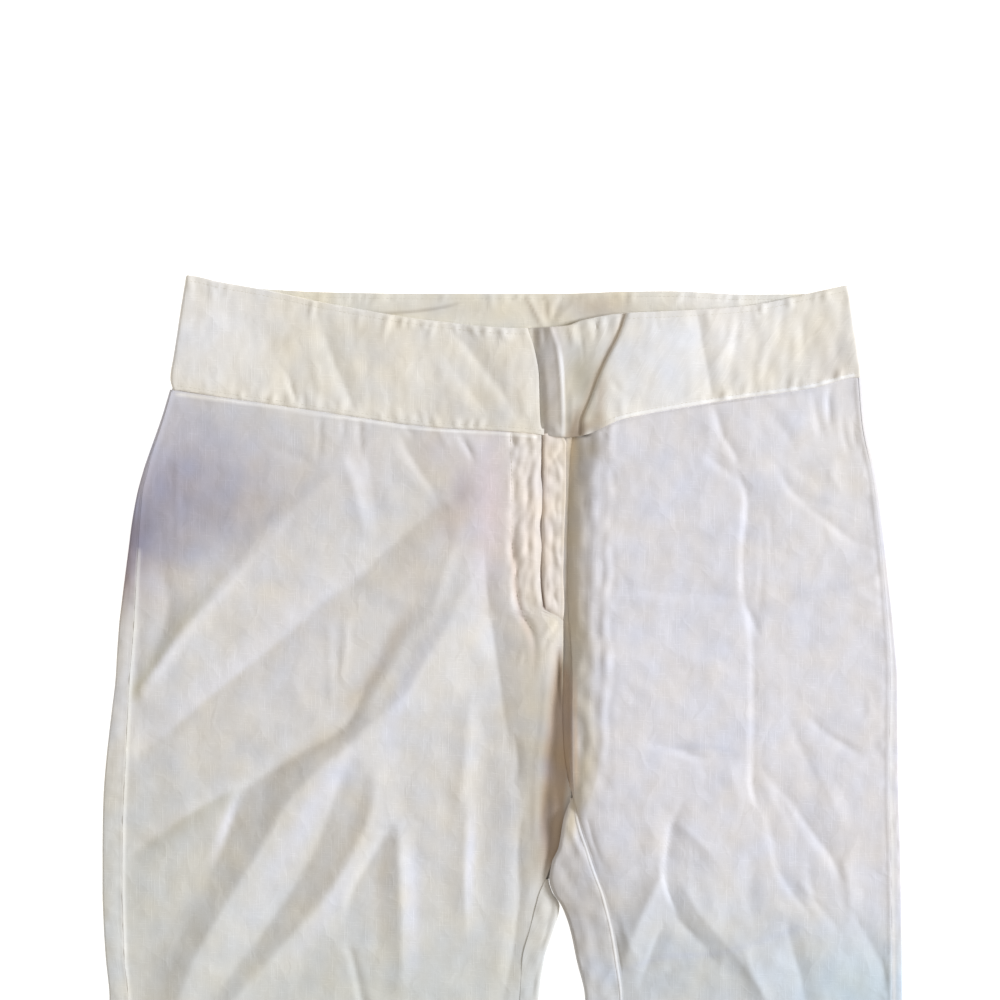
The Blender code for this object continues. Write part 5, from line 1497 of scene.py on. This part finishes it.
def one_tooth(tree, inputs):
    """A pair of zip teeth, one from each tape, locked together."""
    joined = tree.nodes.new("GeometryNodeJoinGeometry")
    share_of_spacing, aside, ahead = 0.42, 0.45 * MM, 0.3 * MM
    for side in (-1, 1):
        half = add_node(tree, "ShaderNodeMath", {0: inputs["Spacing"], 1: share_of_spacing},
                        operation="MULTIPLY")
        sizes = {"X": inputs["Width"], "Y": inputs["Depth"], "Z": half.outputs[0]}
        size = add_node(tree, "ShaderNodeCombineXYZ", sizes).outputs["Vector"]
        tooth = add_node(tree, "GeometryNodeMeshCube", {"Size": size})
        place = {"Geometry": tooth.outputs["Mesh"], "Translation": (side * aside, 0, side * ahead)}
        moved = add_node(tree, "GeometryNodeTransform", place)
        tree.links.new(moved.outputs["Geometry"], joined.inputs["Geometry"])
    return joined.outputs["Geometry"]


def along_lines(name, lines, tree, sizes, material):
    """One mesh of the tree's shape repeated along the lines, each a row of (x, y, z) points in
    millimetres."""
    mesh = bpy.data.meshes.new(name)
    points, edges = [], []
    for line in lines:
        edges += [(len(points) + i, len(points) + i + 1) for i in range(len(line) - 1)]
        points += [tuple(c * MM for c in point) for point in line]
    mesh.from_pydata(points, edges, [])
    piece = bpy.data.objects.new(name, mesh)
    collection.objects.link(piece)
    repeat = piece.modifiers.new("repeat", "NODES")
    repeat.node_group = tree
    wanted = {**sizes, "Material": material}
    for socket in tree.interface.items_tree:
        if socket.in_out == "INPUT" and socket.name in wanted:
            repeat[socket.identifier] = wanted[socket.name]
    return settle(piece)


def laid_on(piece, line, above):
    """The (x, y) points of a line, given the height of the piece's upper side under each, less those off
    it."""
    found = []
    for x, y in line:
        hit, place, _, _ = piece.ray_cast((x * MM, y * MM, 0.05), (0, 0, -1))
        if hit:
            found.append((x, y, place.z / MM + above))
    return found


STITCH = {"Spacing": 2.6 * MM, "Half length": 1.0 * MM, "Half thickness": 0.14 * MM}
stitch_tree = repeat_tree("row of stitches", one_stitch, tuple(STITCH.items()))
TEETH = {"Spacing": 1.4 * MM, "Width": 2.0 * MM, "Depth": 0.7 * MM}
teeth_tree = repeat_tree("zip chain", one_tooth, tuple(TEETH.items()))


def below_edge(line, first, last, inset):
    """Points along one of the waist's lines, moved towards the hem."""
    places = np.linspace(first, last, max(2, int(abs(last - first) / 3)))
    return [(x, float(across(line, x)) - inset) for x in places]


def stitched(piece, *lines):
    """The stitches on a piece of cloth, as one piece."""
    rows = [laid_on(piece, line, 0.0) for line in lines]
    name = piece.name.replace("cloth", "stitches")
    thread_rows = along_lines(name, [row for row in rows if len(row) > 1], stitch_tree, STITCH, thread)
    dress(thread_rows, thread, "waistband" if "waist" in name else "linen")
    return thread_rows


def fly_stitching():
    """The J of stitches that holds the fly."""
    corners = (
        (4.6, 454, 0), (5.4, 430, 0), (5.6, 400, 0), (6.6, 378, 0), (9.6, 356, 0), (16, 341, 0), (23, 334, 0),
        (30, 331, 0))
    return [(x, y) for x, y, _ in course(corners)]


def hem_stitching(table):
    """The hem's stitches across the front of a leg."""
    inner = "inner" if table is RIGHT else "start"
    side, other = float(table("side_seam", HEM + HEM_DEPTH)), float(table(inner, HEM + HEM_DEPTH))
    return [(x, HEM + HEM_STITCHES) for x in np.linspace(side, other, 80)]


# ----------------------------------------
# The pieces.

def dress(piece, material, slot, *nodes):
    """Gives a piece its material, and puts it in its nodes' place. The slot is not used."""
    piece.data.materials.clear()
    piece.data.materials.append(material)
    if nodes:
        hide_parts(*nodes)
    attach(piece, "root")


front_right = make_front_right()
front_left = make_front_left()
back_right = make_back("back_right_cloth", RIGHT, 1, "inner", lambda y: RIGHT("foot", y), shade_right, 51)
back_left = make_back("back_left_cloth", LEFT, -1, "start", lambda y: FOLD("start_z", y), shade_left, 52)
waistband_front_right = make_waistband_front_right()
waistband_front_left = make_waistband_front_left()
waistband_back, waistband_back_facing = make_back_waistband()
fly_shield = make_fly_shield()
zip_tape = make_zip_tape()

for piece, material, slot, node in (
    (front_right, leg_linen, "linen", "front_right"),
    (front_left, leg_linen, "linen", "front_left"),
    (back_right, leg_linen, "linen", "back_right"),
    (back_left, leg_linen, "linen", "back_left"),
    (waistband_front_right, band_linen, "waistband", "waistband_front_right"),
    (waistband_front_left, band_linen, "waistband", "waistband_front_left"),
    (waistband_back, band_linen, "waistband", "waistband_back"),
    (waistband_back_facing, band_linen, "waistband", "waistband_back_facing"),
    (fly_shield, band_linen, "waistband", "fly_shield"),
    (zip_tape, zip_weave, "zip", "fly_zip"),
):
    dress(piece, material, slot, node)

BELOW_TOP, ABOVE_SEAM = 3.0, 2.2  # how far from its edges the front waistband is stitched
front_right_stitches = stitched(front_right, fly_stitching(), hem_stitching(RIGHT))
front_left_stitches = stitched(front_left, hem_stitching(LEFT))
band_right_stitches = stitched(
    waistband_front_right,
    below_edge("front_top", -187, 13, BELOW_TOP), below_edge("front_seam", -195, 22, -ABOVE_SEAM))
band_left_stitches = stitched(
    waistband_front_left,
    below_edge("front_top", 76, 205, BELOW_TOP), below_edge("front_seam", 62, 212, -ABOVE_SEAM))
facing_stitches = stitched(waistband_back_facing, below_edge("back_top", -150, 180, 3.4))
chain = [(14.5, y, Z_ZIP + 0.5) for y in (448, 400, 356)]
zip_teeth = along_lines("zip_teeth", [chain], teeth_tree, TEETH, nickel)
dress(zip_teeth, nickel, "zip")


# ----------------------------------------
# Floor, light and camera.

def make_stage():
    """The pale floor."""
    bpy.ops.mesh.primitive_plane_add(size=12, location=(0, 0, -0.0002))
    floor = bpy.context.object
    floor.name = "floor"
    material, tree, surface = new_material("white floor")
    fill(tree, surface, {
        "Base Color": (0.96, 0.96, 0.96, 1), "Roughness": 0.9, "Specular IOR Level": 0.1,
        "Emission Color": (1, 1, 1, 1), "Emission Strength": 0.62})
    floor.data.materials.append(material)


def add_lamp(name, place, target, size, power, colour):
    """A round soft lamp turned towards its target."""
    data = bpy.data.lights.new(name, "AREA")
    data.shape = "DISK"
    data.size = size
    data.energy = power
    data.color = colour
    lamp = bpy.data.objects.new(name, data)
    lamp.location = place
    direction = np.array(target) - np.array(place)
    lamp.rotation_euler = Vector(direction).to_track_quat("-Z", "Y").to_euler()
    bpy.context.scene.collection.objects.link(lamp)


def make_light():
    """The soft room and its window."""
    world = bpy.data.worlds.new("soft room")
    world.use_nodes = True
    background = world.node_tree.nodes["Background"]
    background.inputs["Color"].default_value = (1.05, 0.985, 0.90, 1)
    background.inputs["Strength"].default_value = 0.50
    bpy.context.scene.world = world
    add_lamp("window", (4.35, 0.95, 2.32), (0, 0.4, 0), 1.5, 225, (0.96, 1.0, 1.075))


def make_camera():
    """The camera, straight above."""
    data = bpy.data.cameras.new("camera")
    data.sensor_width = 36
    distance, frame_width = 2.4, 0.6
    data.lens = data.sensor_width * distance / frame_width
    camera = bpy.data.objects.new("camera", data)
    middle_of_view = (-0.0018, 0.4156)
    cloth_top = 0.004
    camera.location = (*middle_of_view, distance + cloth_top)
    bpy.context.scene.collection.objects.link(camera)
    bpy.context.scene.camera = camera


make_stage()
make_light()
make_camera()
bpy.context.scene.view_settings.view_transform = "Standard"
